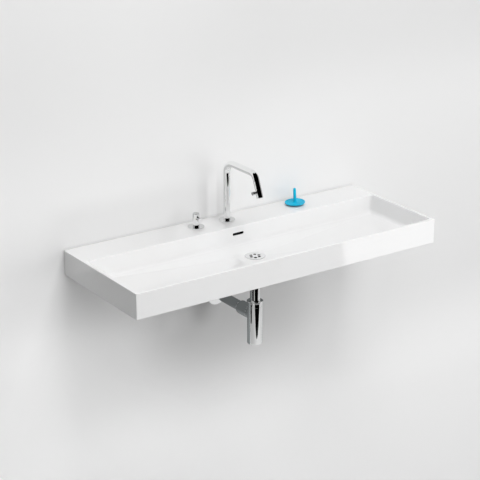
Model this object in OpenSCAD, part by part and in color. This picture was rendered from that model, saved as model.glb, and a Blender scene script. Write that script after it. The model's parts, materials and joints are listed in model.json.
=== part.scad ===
// Wall-hung washbasin with a tall swivel spout, a side valve, a grated waste,
// a bottle trap and a loose silicone stopper. Millimetres, +Z up, +Y into the wall.
// The origin is midway between the two wall bolts, on the basin's back face.

/* [Basin] */
// Width of the basin along the wall
basin_w = 1100; // [900:5:1400]
// Depth of the basin from the wall to its front face
basin_d = 420; // [400:5:520]
// Height of the front apron
basin_h = 80; // [76:1:120]
// Thickness of the rim and of the outer walls
wall_t = 10; // [8:0.5:14]
// Thickness of the ceramic under the bowl
floor_t = 10; // [8:0.5:14]
// Thickness of the tap ledge
deck_t = 12; // [10:0.5:16]
// Width of the flat tap ledge, from the wall to the bowl
ledge_d = 120; // [116:1:150]
// Radius of the soft outer edges
edge_r = 2; // [1:0.25:3]

/* [Bowl] */
// Depth from the rim to the edge of the bowl's floor
bowl_depth = 58; // [50:1:60]
// Further fall of the floor from its edge to the waste
floor_fall = 12; // [8:1:16]
// Inward lean of the side walls over the bowl's depth
side_lean = 14; // [6:1:20]
// Inward lean of the front and rear walls over the bowl's depth
end_lean = 7; // [3:1:10]
// Radius of the hollow where the walls meet the floor
cove_r = 13; // [8:1:18]
// Radius of the bowl's upright corners
corner_r = 9; // [6:1:14]

/* [Wall bolts] */
// Distance between the two wall bolts
bolt_span = 560; // [400:5:760]
// Distance from the rim down to the bolts
bolt_drop = 35; // [30:1:45]
// Diameter of each bolt hole
bolt_hole_d = 14; // [10:0.5:16]
// Diameter of the thick pad round each bolt hole
bolt_pad_d = 40; // [30:1:44]
// Thickness that the pad adds behind the back wall
bolt_pad_t = 8; // [4:1:12]

/* [Overflow] */
// Length of the overflow slot
slot_w = 42; // [30:1:50]
// Height of the overflow slot
slot_h = 6.5; // [5:0.5:9]
// Distance from the rim down to the middle of the slot
slot_drop = 24.5; // [20:0.5:30]
// Clear depth of the overflow duct
duct_t = 12; // [10:1:14]
// Wall of the overflow duct
duct_wall = 8; // [6:1:10]

/* [Waste] */
// Distance from the wall to the middle of the waste
waste_y = 215; // [200:5:240]
// Diameter of the waste's flange
flange_d = 64; // [58:1:70]
// Thickness of the flange at its edge
flange_t = 2.5; // [2:0.25:4]
// Thickness of the rubber seal under the flange
flange_seal_t = 1.5; // [1:0.25:2.5]
// Diameter of each drain hole in the grate
grate_hole_d = 8; // [5:0.5:9]
// Diameter of the circle that the drain holes lie on
grate_pcd = 25.4; // [22:0.2:27]
// Number of drain holes in the grate
grate_holes = 6; // [4:1:6]
// Outer diameter of the waste's threaded tail
tail_d = 42; // [40:0.5:44]
// Wall of the threaded tail
tail_t = 3; // [2:0.25:4]
// Length of tail that shows below the waste's back nut
tail_end = 15; // [12:1:24]
// Diameter of the waste hole in the ceramic
waste_hole_d = 46; // [45.5:0.5:48]
// Diameter of the boss under the bowl
boss_d = 78; // [74:1:90]

/* [Trap] */
// Distance from the rim down to the trap's outlet axis
outlet_drop = 266.5; // [255:0.5:330]
// Outer diameter of the waste pipes
pipe_d = 32; // [28:0.5:35]
// Wall of the waste pipes
pipe_t = 1.5; // [1:0.1:2]
// Outer diameter of the trap's body and cup
trap_d = 49; // [47:0.5:56]
// Wall of the trap's body and cup
trap_t = 2.5; // [2:0.1:2.8]
// Distance from the outlet axis up to the shoulder of the body
body_rise = 30.5; // [28:0.5:40]
// Distance from the outlet axis down to the seam of the cup
seam_drop = 33.5; // [28:0.5:45]
// Distance from the outlet axis down to the bottom of the cup
cup_drop = 96.5; // [90:0.5:130]
// Radius of the cup's bottom edge
cup_edge_r = 4.5; // [3:0.5:6]
// Depth of the water seal below the outlet pipe's invert
water_seal = 50; // [45:1:60]
// Widest diameter of the collar nut
collar_d = 52; // [50:0.5:58]
// Height of the collar nut
collar_h = 20; // [18:0.5:26]
// Outer diameter of the outlet nut
outlet_nut_d = 44; // [43:0.5:48]
// Length of the outlet nut
outlet_nut_l = 54; // [44:1:60]
// Diameter of the wall rosette
rosette_d = 72; // [60:1:90]
// Depth of the wall rosette
rosette_t = 9; // [6:0.5:14]
// Length of the waste pipe that enters the wall
pipe_stub = 30; // [20:1:60]

/* [Tap] */
// Distance from the wall to the axes of the spout and the valve
tap_y = 60; // [54:1:64]
// Diameter of each tap hole
tap_hole_d = 35; // [34.5:0.5:36]
// Diameter of the round cover plates on the ledge
cover_d = 52; // [46:1:56]
// Thickness of the cover plates
cover_t = 2.5; // [2:0.25:4]
// Diameter of the threaded shanks
shank_d = 26; // [24:0.5:27]
// Length of the shanks below the top of the ledge
shank_l = 50; // [44:1:54]
// Outer diameter of the spout's tube and of the valve's column
tube_d = 21; // [20.5:0.5:24]
// Wall of the spout's tube
tube_t = 1.5; // [1.2:0.1:1.6]

/* [Spout] */
// Height of the horizontal arm's axis above the ledge
arm_rise = 195.5; // [160:0.5:240]
// Distance from the upright's axis to where the arm and outlet axes cross
arm_reach = 152.5; // [110:0.5:180]
// Radius of the first bend on the tube's axis
bend1_r = 36; // [24:1:46]
// Radius of the second bend on the tube's axis
bend2_r = 25; // [20:1:30]
// Angle through which the arm turns down to the outlet
outlet_turn = 68; // [60:1:80]
// Length of the outlet from the crossing of the axes to its end
outlet_l = 74.4; // [72:0.2:96]
// Distance from the crossing of the axes to the outlet knob
knob_at = 57; // [46:0.5:60]
// Diameter of the outlet knob's head
knob_head_d = 11.5; // [10:0.5:14]
// Thickness of the outlet knob's head
knob_head_t = 7; // [5:0.5:9]
// Diameter of the outlet knob's neck
knob_neck_d = 6.5; // [5.5:0.5:8]
// Distance from the tube's axis to the middle of the knob's head
knob_out = 21; // [20:0.5:28]

/* [Valve] */
// Distance from the spout's axis to the valve's axis
valve_x = 116; // [80:1:160]
// Height of the valve's column above the ledge
valve_h = 49; // [46:0.5:64]
// Height of the valve knob's axis above the ledge
valve_knob_z = 31.5; // [28:0.5:34]
// Diameter of the valve knob
valve_knob_d = 15; // [13.5:0.5:18]
// Length of the valve knob in front of the column
valve_knob_l = 13.5; // [12:0.5:24]

/* [Stopper] */
// Distance from the spout's axis to the stopper on the ledge
stopper_x = 267; // [200:1:400]
// Distance from the wall to the stopper
stopper_y = 54; // [40:1:80]
// Diameter of the stopper's disc
stopper_d = 66; // [60:1:72]
// Height of the stopper from its underside to its tip
stopper_h = 56; // [40:0.5:60]
// Depth of the disc's rounded underside
stopper_belly = 6; // [4:0.5:8]
// Diameter of the stem where it leaves the disc
stopper_stem_d = 10.5; // [9:0.5:12]
// Sideways lean of the stopper as it stands on the ledge, in degrees
stopper_tilt = 3; // [0:0.5:5]

/* [Hidden] */

$fn = 96;
ceramic = "white";
chrome = "silver";
brass = "goldenrod";
rubber = "dimgray";
steel = "lightsteelblue";
silicone = [0.17, 0.71, 0.86];

// Fits: a screw thread, a sliding pipe, a turning spindle, two flat faces and
// a loose rubber ring
thread_fit = 0.1;
pipe_fit = 0.2;
turn_fit = 0.06;
seat_gap = 0.2;
soft_fit = 0.5;
skin = 0.01;
past = 1;

// Levels of the basin
rim_z = bolt_drop;
base_z = rim_z - basin_h;
deck_under_z = rim_z - deck_t;
waste_z = rim_z - bowl_depth - floor_fall;
bowl_w = basin_w - 2 * wall_t;
bowl_front = -basin_d + wall_t;
bowl_rear = -ledge_d;

// The overflow duct runs down behind the bowl and forward to the waste
seat_t = flange_seal_t + flange_t - 1;
duct_top_z = waste_z - floor_t;
duct_bottom_z = duct_top_z - duct_t - 2;
boss_z = duct_bottom_z - duct_wall;
slot_z = rim_z - slot_drop;
duct_front = bowl_rear + floor_t - 1;
duct_back = duct_front + duct_t;

// The waste's parts, from the boss downwards
under_seal_t = 4;
washer_t = 1.5;
back_nut_h = 9;
back_nut_af = 55;
waste_ring_d = 60;
waste_nut_z = boss_z - under_seal_t - washer_t;
tail_z = waste_nut_z - back_nut_h - tail_end;
gasket_t = 2;
pipe_flange_t = 2;
pipe_flange_z = tail_z - gasket_t;
tail_lip_t = 5;
tail_nut_d = tail_d + 8;
tail_nut_top = tail_z + tail_end - 3;

// The trap, measured from its outlet axis
outlet_z = rim_z - outlet_drop;
shoulder_z = outlet_z + body_rise;
seam_z = outlet_z - seam_drop;
cup_z = outlet_z - cup_drop;
pipe_bore = pipe_d - 2 * pipe_t;
trap_bore = trap_d - 2 * trap_t;
dip_z = outlet_z - pipe_bore / 2 - water_seal;
neck_wall = 5;
neck_d = pipe_d + 2 * neck_wall;
neck_h = 13;
collar_seal_t = 4;
collar_lip_t = collar_h - neck_h - collar_seal_t;
head_plate_t = 3;
spigot_h = 12;
spigot_t = 2;
oring_w = 2;
oring_deep = 1.2;

// The outlet branch, its nut and the pipe to the wall
branch_d = pipe_d + 7;
nut_end_y = -waste_y + trap_d / 2 + seat_gap;
nut_start_y = nut_end_y + outlet_nut_l;
outlet_lip_t = 5;
outlet_seal_t = 4;
branch_y = nut_start_y - outlet_lip_t - outlet_seal_t;
pipe_grip = 30;
mark_w = 1.5;
mark_deep = 0.4;
pipe_in_y = branch_y - pipe_grip;

// The tap's parts on and under the ledge
tube_bore = tube_d - 2 * tube_t;
cover_z = rim_z + cover_t;
cover_lip_t = 1.5;
lip_z = cover_z - cover_lip_t;
hub_l = 8;
hub_d = tap_hole_d - 1;
spigot_d = tube_bore - 2 * turn_fit;
cover_seal_t = 1.5;
cover_edge_w = 4;
recess_d = cover_d - 2 * cover_edge_w;
shank_z = rim_z - shank_l;
nipple_d = 16.7;
nipple_l = 10;
spout_spigot_l = 38;
spout_way_d = 10;
glide_t = 0.6;
tube_z = cover_z + glide_t + seat_gap;
oring_step = 9;
tap_ring_d = 50;
tap_washer_t = 3;
clamp_t = 2;
tap_nut_h = 8;
tap_nut_af = 34;

// The spout's path: up, over, along the arm and down the outlet
arm_z = rim_z + arm_rise;
outlet_lean = 90 - outlet_turn;
tangent2 = bend2_r * tan(outlet_turn / 2);
arm_l = arm_reach - bend1_r - tangent2;
bend_slim = 0.25;
bend_d = tube_d - 2 * bend_slim;
bend_bore = tube_bore + 2 * bend_slim;
bend_lap = 0.6;
aerator_l = 5;
aerator_in = 1.5;
stem_d = 4;
bonnet_d = 9;
bonnet_out = 2;
flow_disc_t = 1.5;

// The valve's column and head
valve_top_z = rim_z + valve_h;
valve_axis_z = rim_z + valve_knob_z;
valve_spigot_l = 13;
column_edge_r = 3;
head_d = valve_knob_d - 2;
head_back = 7;
head_l = head_back + tube_d / 2 + 3;
way_d = 5;
way_x = 4.6;
socket_d = 7.2;
socket_l = 12;
grub_d = 3;
spindle_d = 6;
knob_skirt = 4;

// The stopper's belly is part of a sphere
belly_r = (pow(stopper_d / 2 - 2, 2) + pow(stopper_belly, 2)) / (2 * stopper_belly);

// A ring with a true bore, from z0 up to z1
module ring(z0, z1, outer, inner) {
    translate([0, 0, z0])
        difference() {
            cylinder(d = outer, h = z1 - z0);
            translate([0, 0, -past])
                cylinder(d = inner, h = z1 - z0 + 2 * past);
        }
}

// A round-ended slot cut along Y, centred on the origin
module slot_cut(w, h, l) {
    rotate([90, 0, 0])
        linear_extrude(height = l, center = true) {
            square([w - h, h], center = true);
            for (side = [-1, 1])
                translate([side * (w - h) / 2, 0])
                    circle(d = h);
        }
}

// Moves its children onto the waste's axis
module at_waste() {
    translate([0, -waste_y, 0])
        children();
}

// Thin discs at the four corners of a rectangle, for a hull of slices
module corner_discs(w, front, rear, r_front, r_rear, z, steps) {
    for (side = [-1, 1]) {
        translate([side * (w / 2 - r_front), front + r_front, z])
            cylinder(r = r_front, h = skin, $fn = steps);
        translate([side * (w / 2 - r_rear), rear - r_rear, z])
            cylinder(r = r_rear, h = skin, $fn = steps);
    }
}

// The basin's outer block: rounded on every edge but those on the wall
module outer_block() {
    hull() {
        for (a = [0 : 30 : 90]) {
            inset = edge_r * (1 - sin(a));
            corner_discs(basin_w - 2 * inset, -basin_d + inset, 0, edge_r, edge_r / 2,
                rim_z - edge_r * (1 - cos(a)) - skin, 16);
            corner_discs(basin_w - 2 * inset, -basin_d + inset, 0, edge_r, edge_r / 2,
                base_z + edge_r * (1 - cos(a)), 16);
        }
    }
}

// One level of the bowl, drawn in from the rim by the walls' lean and the cove
module bowl_slice(depth, cove, grow) {
    side = depth * side_lean / bowl_depth + cove - grow;
    end = depth * end_lean / bowl_depth + cove - grow;
    corner_discs(bowl_w - 2 * side, bowl_front + end, bowl_rear - end,
        corner_r + grow, corner_r + grow, rim_z - depth - grow * (cove > 0 ? 1 : 0), 32);
}

// The bowl as one hull: leaning walls, a cove, and a floor that falls to the waste
module bowl_form(grow, top) {
    hull() {
        translate([0, 0, top])
            bowl_slice(0, 0, grow);
        for (a = [0 : 15 : 90])
            bowl_slice(bowl_depth - cove_r * (1 - sin(a)), cove_r * (1 - cos(a)) + skin, grow);
        translate([0, -waste_y, waste_z - grow])
            cylinder(d = flange_d + 6 + grow, h = skin, $fn = 48);
    }
}

// The soft edge round the bowl's mouth
module bowl_mouth() {
    hull() {
        translate([0, 0, skin])
            bowl_slice(0, 0, edge_r * 0.75);
        bowl_slice(edge_r * 0.75, 0, 0);
    }
}

// Outside of the overflow duct and of the waste boss
module duct_block() {
    block_w = slot_w + 2 * duct_wall;
    translate([-block_w / 2, duct_front - wall_t, boss_z])
        cube([block_w, duct_t + wall_t + duct_wall, deck_under_z + past - boss_z]);
    translate([-block_w / 2, -waste_y, boss_z])
        cube([block_w, waste_y + duct_back + duct_wall, duct_top_z + 2 * past - boss_z]);
    at_waste()
        translate([0, 0, boss_z])
            cylinder(d = boss_d, h = waste_z - boss_z - past);
}

// Water's way from the overflow slot to the waste hole
module duct_way() {
    translate([-slot_w / 2, duct_front, duct_bottom_z])
        cube([slot_w, duct_t, slot_z + slot_h - duct_bottom_z]);
    translate([-slot_w / 2, -waste_y, duct_bottom_z])
        cube([slot_w, waste_y + duct_back, duct_top_z - duct_bottom_z]);
    translate([0, bowl_rear, slot_z])
        slot_cut(slot_w, slot_h, 2 * floor_t);
}

// The ceramic basin
module basin() {
    color(ceramic)
        difference() {
            union() {
                difference() {
                    outer_block();
                    difference() {
                        translate([-bowl_w / 2, bowl_front, base_z - past])
                            cube([bowl_w, -bowl_front - wall_t, deck_under_z - base_z + past]);
                        bowl_form(floor_t, 0);
                    }
                }
                duct_block();
                for (side = [-1, 1])
                    translate([side * bolt_span / 2, -wall_t + past, 0])
                        rotate([90, 0, 0])
                            cylinder(d = bolt_pad_d, h = bolt_pad_t + past);
            }
            bowl_form(0, past);
            bowl_mouth();
            duct_way();
            at_waste() {
                translate([0, 0, boss_z - past])
                    cylinder(d = waste_hole_d, h = waste_z - boss_z + 2 * past);
                translate([0, 0, waste_z - seat_t])
                    cylinder(d = flange_d + 2 * pipe_fit, h = seat_t + past);
            }
            for (x = [0, -valve_x])
                translate([x, -tap_y, deck_under_z - past])
                    cylinder(d = tap_hole_d, h = deck_t + 2 * past);
            for (side = [-1, 1])
                translate([side * bolt_span / 2, past, 0])
                    rotate([90, 0, 0])
                        cylinder(d = bolt_hole_d, h = wall_t + bolt_pad_t + 2 * past);
        }
}

// The grated waste: a dished flange with drain holes, on a threaded tail
module waste_grate() {
    flange_r = flange_d / 2;
    under = waste_z - seat_t + flange_seal_t;
    dish = tail_d / 2 - tail_t;
    color(chrome)
        at_waste()
            difference() {
                rotate_extrude()
                    polygon([
                        [0, under], [dish, under], [dish, tail_z], [dish + tail_t, tail_z],
                        [dish + tail_t, under], [flange_r, under],
                        [flange_r, under + flange_t - 1], [flange_r - 1, under + flange_t],
                        [flange_r - 3, under + flange_t], [dish, under + flange_t - 1],
                        [0, under + flange_t - 0.6]
                    ]);
                for (i = [0 : grate_holes - 1])
                    rotate([0, 0, 90 + i * 360 / grate_holes])
                        translate([grate_pcd / 2, 0, under - past])
                            cylinder(d = grate_hole_d, h = flange_t + 2 * past);
                for (a = [0, 90])
                    rotate([0, 0, a])
                        translate([0, 0, (duct_top_z + duct_bottom_z) / 2])
                            slot_cut(duct_t, duct_t - 2, tail_d + 2);
            }
}

module waste_seal() {
    color(rubber)
        at_waste()
            ring(waste_z - seat_t, waste_z - seat_t + flange_seal_t, flange_d - 4,
                waste_hole_d - 2);
}

module waste_under_seal() {
    color(rubber)
        at_waste()
            ring(boss_z - under_seal_t, boss_z, waste_ring_d, tail_d + 2 * pipe_fit);
}

module waste_washer() {
    color(steel)
        at_waste()
            ring(waste_nut_z, boss_z - under_seal_t, waste_ring_d, tail_d + 2 * pipe_fit);
}

module waste_back_nut() {
    color(brass)
        at_waste()
            translate([0, 0, waste_nut_z - back_nut_h])
                difference() {
                    cylinder(d = back_nut_af / cos(30), h = back_nut_h, $fn = 6);
                    translate([0, 0, -past])
                        cylinder(d = tail_d + 2 * thread_fit, h = back_nut_h + 2 * past);
                }
}

// The nut that pulls the inlet pipe's flange against the tail
module tail_nut() {
    lip_z0 = pipe_flange_z - pipe_flange_t - tail_lip_t;
    outer_r = tail_nut_d / 2;
    color(chrome)
        at_waste()
            difference() {
                rotate_extrude()
                    polygon([
                        [0, lip_z0], [outer_r - 2, lip_z0], [outer_r, lip_z0 + 2],
                        [outer_r, tail_nut_top - 1], [outer_r - 1, tail_nut_top],
                        [0, tail_nut_top]
                    ]);
                translate([0, 0, lip_z0 - past])
                    cylinder(d = pipe_d + 2 * pipe_fit, h = tail_lip_t + 2 * past);
                translate([0, 0, lip_z0 + tail_lip_t])
                    cylinder(d = tail_d + 2 * thread_fit, h = tail_nut_top - lip_z0);
            }
}

module tail_gasket() {
    color(rubber)
        at_waste()
            ring(pipe_flange_z, tail_z, tail_d - 2 * soft_fit, pipe_bore + 4 * soft_fit);
}

// The chrome pipe from the waste down into the trap
module inlet_pipe() {
    color(chrome)
        at_waste() {
            difference() {
                union() {
                    translate([0, 0, dip_z])
                        cylinder(d = pipe_d, h = pipe_flange_z - dip_z);
                    translate([0, 0, pipe_flange_z - pipe_flange_t])
                        cylinder(d = tail_d - 2 * soft_fit, h = pipe_flange_t);
                }
                translate([0, 0, dip_z - past])
                    cylinder(d = pipe_bore, h = pipe_flange_z - dip_z + 2 * past);
            }
        }
}

// The flared nut that clamps the inlet pipe in the trap's neck
module collar_nut() {
    top = shoulder_z + collar_h;
    r = collar_d / 2;
    flare_z = shoulder_z + collar_h * 0.75;
    lip_z0 = top - collar_lip_t;
    color(chrome)
        at_waste()
            difference() {
                rotate_extrude()
                    polygon([
                        [0, shoulder_z + seat_gap], [trap_d / 2, shoulder_z + seat_gap],
                        [trap_d / 2, shoulder_z + collar_h * 0.45], [r, flare_z],
                        [r, flare_z + 1.5], [r - 1.5, flare_z + 3], [pipe_d / 2 + 3, top],
                        [0, top]
                    ]);
                translate([0, 0, shoulder_z])
                    cylinder(d = neck_d + 2 * thread_fit, h = lip_z0 - shoulder_z);
                translate([0, 0, lip_z0 - past])
                    cylinder(d = pipe_d + 2 * pipe_fit, h = collar_lip_t + 2 * past);
            }
}

module collar_seal() {
    z0 = shoulder_z + neck_h;
    color(rubber)
        at_waste()
            ring(z0, z0 + collar_seal_t, neck_d - 2 * soft_fit, pipe_d + thread_fit);
}

// The trap's head: neck, body and the branch towards the wall
module trap_body() {
    color(chrome)
        difference() {
            union() {
                at_waste() {
                    translate([0, 0, seam_z])
                        cylinder(d = trap_d, h = shoulder_z - seam_z);
                    translate([0, 0, shoulder_z - past])
                        cylinder(d = neck_d, h = neck_h + past);
                }
                translate([0, -waste_y, outlet_z])
                    rotate([-90, 0, 0])
                        cylinder(d = branch_d, h = waste_y + branch_y);
            }
            at_waste() {
                translate([0, 0, seam_z - past])
                    cylinder(d = trap_bore, h = shoulder_z - head_plate_t - seam_z + past);
                translate([0, 0, shoulder_z - head_plate_t - past])
                    cylinder(d = pipe_d + 1, h = neck_h + head_plate_t + 2 * past);
            }
            translate([0, -waste_y, outlet_z])
                rotate([-90, 0, 0])
                    cylinder(d = pipe_d + 2 * pipe_fit, h = waste_y + branch_y + past);
        }
}

// The cup that unscrews for cleaning
module trap_cup() {
    r = trap_d / 2;
    inner = r - trap_t - 0.5;
    neck_r = trap_bore / 2 - thread_fit;
    groove_z = seam_z + spigot_h / 2;
    color(chrome)
        at_waste()
            rotate_extrude() {
                polygon([
                    [0, cup_z], [r - cup_edge_r, cup_z], [r, cup_z + cup_edge_r],
                    [r, seam_z - seat_gap], [neck_r, seam_z - seat_gap],
                    [neck_r, groove_z - oring_w / 2], [neck_r - oring_deep, groove_z - oring_w / 2],
                    [neck_r - oring_deep, groove_z + oring_w / 2], [neck_r, groove_z + oring_w / 2],
                    [neck_r, seam_z + spigot_h], [neck_r - spigot_t, seam_z + spigot_h],
                    [neck_r - spigot_t, seam_z - 4], [inner, seam_z - 6],
                    [inner, cup_z + trap_t + 4], [inner - 4, cup_z + trap_t], [0, cup_z + trap_t]
                ]);
                translate([r - cup_edge_r, cup_z + cup_edge_r])
                    intersection() {
                        circle(r = cup_edge_r);
                        translate([0, -cup_edge_r])
                            square(cup_edge_r);
                    }
            }
}

module cup_oring() {
    neck_r = trap_bore / 2 - thread_fit;
    groove_z = seam_z + spigot_h / 2;
    color(rubber)
        at_waste()
            ring(groove_z - oring_w / 2, groove_z + oring_w / 2,
                trap_bore - thread_fit, 2 * (neck_r - oring_deep));
}

// Turns a profile drawn along Z so that it runs along +Y on the outlet's axis
module along_outlet(y0) {
    translate([0, y0, outlet_z])
        rotate([-90, 0, 0])
            children();
}

module outlet_nut() {
    r = outlet_nut_d / 2;
    color(chrome)
        along_outlet(nut_end_y)
            difference() {
                rotate_extrude()
                    polygon([
                        [0, 0], [r, 0], [r, outlet_nut_l - 6], [r - 1, outlet_nut_l - 3],
                        [r - 3.5, outlet_nut_l], [0, outlet_nut_l]
                    ]);
                translate([0, 0, -past])
                    cylinder(d = branch_d + 2 * thread_fit, h = outlet_nut_l - outlet_lip_t + past);
                translate([0, 0, outlet_nut_l - outlet_lip_t - past])
                    cylinder(d = pipe_d + 2 * pipe_fit, h = outlet_lip_t + 2 * past);
            }
}

module outlet_seal() {
    color(rubber)
        along_outlet(branch_y)
            ring(0, outlet_seal_t, branch_d - 0.6, pipe_d + thread_fit);
}

// The pipe to the wall; a rolled groove marks how deep it enters
module wall_pipe() {
    color(chrome)
        difference() {
            along_outlet(pipe_in_y)
                ring(0, pipe_stub - pipe_in_y, pipe_d, pipe_bore);
            along_outlet(0)
                ring(0, mark_w, pipe_d + 2 * past, pipe_d - 2 * mark_deep);
        }
}

// The domed plate that covers the pipe's hole in the wall
module wall_rosette() {
    r = rosette_d / 2;
    hub = pipe_d / 2 + 2.5;
    color(chrome)
        along_outlet(0)
            mirror([0, 0, 1])
                difference() {
                    rotate_extrude()
                        polygon(concat(
                            [[0, 0], [r, 0], [r, 1.2]],
                            [for (a = [15 : 15 : 90]) [
                                r - (r - hub) * sin(a) * sin(a),
                                1.2 + (rosette_t - 3) * sin(a)
                            ]],
                            [[hub, rosette_t], [0, rosette_t]]
                        ));
                    translate([0, 0, -past])
                        cylinder(d = pipe_d + 2 * pipe_fit, h = rosette_t + 2 * past);
                    translate([0, 0, -past])
                        cylinder(r1 = r - 4, r2 = hub - 1, h = rosette_t - 1.8);
                }
}

// Moves its children onto a tap's axis
module at_tap(x) {
    translate([x, -tap_y, 0])
        children();
}

// A cover plate: a thin disc with a threaded hub that centres it in the tap hole
module cover_plate(x) {
    r = cover_d / 2;
    color(chrome)
        at_tap(x)
            difference() {
                union() {
                    rotate_extrude()
                        polygon([
                            [0, rim_z], [r, rim_z], [r, cover_z - 0.8], [r - 0.3, cover_z - 0.2],
                            [r - 0.9, cover_z], [0, cover_z]
                        ]);
                    translate([0, 0, rim_z - hub_l])
                        cylinder(d = hub_d, h = hub_l + past);
                }
                translate([0, 0, rim_z - past])
                    difference() {
                        cylinder(d = recess_d, h = cover_seal_t + past);
                        cylinder(d = hub_d, h = cover_seal_t + past);
                    }
                translate([0, 0, rim_z - hub_l - past])
                    cylinder(d = shank_d + 2 * thread_fit, h = lip_z - rim_z + hub_l + past);
                translate([0, 0, lip_z - past])
                    cylinder(d = spigot_d + 2 * pipe_fit, h = cover_lip_t + 2 * past);
            }
}

module cover_seal(x) {
    color(rubber)
        at_tap(x)
            ring(rim_z, rim_z + cover_seal_t - thread_fit, recess_d - 2 * soft_fit,
                hub_d + 2 * soft_fit);
}

module under_washer(x) {
    color(rubber)
        at_tap(x)
            ring(deck_under_z - tap_washer_t, deck_under_z, tap_ring_d, shank_d + 2 * pipe_fit);
}

module clamp_plate(x) {
    z1 = deck_under_z - tap_washer_t;
    color(steel)
        at_tap(x)
            ring(z1 - clamp_t, z1, tap_ring_d, shank_d + 2 * pipe_fit);
}

module tap_back_nut(x) {
    color(brass)
        at_tap(x)
            translate([0, 0, deck_under_z - tap_washer_t - clamp_t - tap_nut_h])
                difference() {
                    cylinder(d = tap_nut_af / cos(30), h = tap_nut_h, $fn = 6);
                    translate([0, 0, -past])
                        cylinder(d = shank_d + 2 * thread_fit, h = tap_nut_h + 2 * past);
                }
}

// The spout's shank: thread below, a grooved spigot above and a nipple at the foot
module spout_shank() {
    groove_r = spigot_d / 2 - oring_deep;
    color(brass)
        at_tap(0)
            difference() {
                union() {
                    translate([0, 0, shank_z])
                        cylinder(d = shank_d, h = lip_z - shank_z);
                    translate([0, 0, lip_z - past])
                        cylinder(d = spigot_d, h = spout_spigot_l + past);
                    translate([0, 0, shank_z - nipple_l])
                        cylinder(d = nipple_d, h = nipple_l + past);
                }
                translate([0, 0, shank_z - nipple_l - past])
                    cylinder(d = spout_way_d, h = shank_l + nipple_l + spout_spigot_l + 4 * past);
                for (i = [1, 2])
                    translate([0, 0, lip_z + i * oring_step + 4])
                        ring(0, oring_w, tube_d, 2 * groove_r);
            }
}

module spout_orings() {
    groove_d = spigot_d - 2 * oring_deep;
    color(rubber)
        at_tap(0)
            for (i = [1, 2])
                translate([0, 0, lip_z + i * oring_step + 4])
                    ring(0, oring_w, tube_bore - turn_fit, groove_d);
}

module spout_glide_ring() {
    color("ivory")
        at_tap(0)
            ring(cover_z, cover_z + glide_t, tube_d - 0.4, spigot_d + 2 * pipe_fit);
}

// Carries its children from the spout's upright to the crossing of its arm and outlet
module at_outlet() {
    translate([0, -tap_y - arm_reach, arm_z])
        rotate([-outlet_lean, 0, 0])
            mirror([0, 0, 1])
                children();
}

// A bend about an axis along X; from 0 degrees it sets out straight up. The tube's wall
// is thinner in the bend, and each straight length laps over the bend's end.
module bend(from, turn, r) {
    rotate([90, 0, 90])
        rotate([0, 0, from])
            rotate_extrude(angle = turn)
                translate([r, 0])
                    difference() {
                        circle(d = bend_d);
                        circle(d = bend_bore);
                    }
}

// The bent tube: an upright, a bend, the arm, a second bend and the outlet
module spout_tube() {
    bonnet_hole = bonnet_d - 2 * tube_t + 2 * thread_fit;
    color(chrome)
        difference() {
            union() {
                at_tap(0)
                    ring(tube_z, arm_z - bend1_r + bend_lap, tube_d, tube_bore);
                translate([0, -tap_y - bend1_r, arm_z - bend1_r])
                    bend(0, 90, bend1_r);
                translate([0, -tap_y - bend1_r - arm_l, arm_z])
                    rotate([-90, 0, 0])
                        ring(-bend_lap, arm_l + bend_lap, tube_d, tube_bore);
                translate([0, -tap_y - bend1_r - arm_l, arm_z - bend2_r])
                    bend(90, outlet_turn, bend2_r);
                at_outlet()
                    ring(tangent2 - bend_lap, outlet_l, tube_d, tube_bore);
            }
            at_outlet()
                translate([0, 0, knob_at])
                    rotate([0, -90, 0])
                        cylinder(d = bonnet_hole, h = tube_d);
        }
}

// The threaded aerator in the end of the spout, with its mesh as a thin disc
module aerator() {
    d = tube_bore - 2 * thread_fit;
    z1 = outlet_l - aerator_in;
    mesh_t = 1;
    color(chrome)
        at_outlet() {
            ring(z1 - aerator_l, z1, d, d - 4);
            translate([0, 0, z1 - aerator_l])
                cylinder(d = d - 3, h = mesh_t);
        }
}

module aerator_seal() {
    z0 = outlet_l - aerator_in - aerator_l;
    color(rubber)
        at_outlet()
            ring(z0 - cover_seal_t, z0, tube_bore - 2 * thread_fit, tube_bore - 6);
}

// Turns its children so that +Z points out of the outlet's left side at the knob
module at_knob() {
    at_outlet()
        translate([0, 0, knob_at])
            rotate([0, -90, 0])
                children();
}

// The small screwed bush that carries the outlet knob's stem
module outlet_bonnet() {
    wall = tube_d / 2;
    color(chrome)
        at_knob()
            difference() {
                union() {
                    translate([0, 0, wall - tube_t - 1])
                        cylinder(d = bonnet_d - 2 * tube_t, h = tube_t + 1 + past);
                    intersection() {
                        translate([0, 0, wall - 1])
                            cylinder(d = bonnet_d, h = 1 + bonnet_out);
                        rotate([0, 90, 0])
                            ring(-bonnet_d, bonnet_d, 3 * tube_d, tube_d + 2 * thread_fit);
                    }
                }
                cylinder(d = stem_d + 2 * turn_fit, h = tube_d);
            }
}

// The T-shaped knob with its stem
module outlet_knob() {
    head_z = knob_out - knob_head_t / 2;
    neck_z = tube_d / 2 + bonnet_out + seat_gap;
    r = knob_head_d / 2;
    stem_z = flow_disc_t;
    color(chrome)
        at_knob() {
            translate([0, 0, head_z])
                rotate_extrude()
                    polygon([
                        [0, 0], [r - 0.8, 0], [r, 0.8], [r, knob_head_t - 1.2],
                        [r - 1.2, knob_head_t], [0, knob_head_t]
                    ]);
            translate([0, 0, neck_z])
                cylinder(d = knob_neck_d, h = head_z - neck_z + 0.2);
            translate([0, 0, stem_z])
                cylinder(d = stem_d, h = neck_z - stem_z + 0.2);
        }
}

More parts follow.
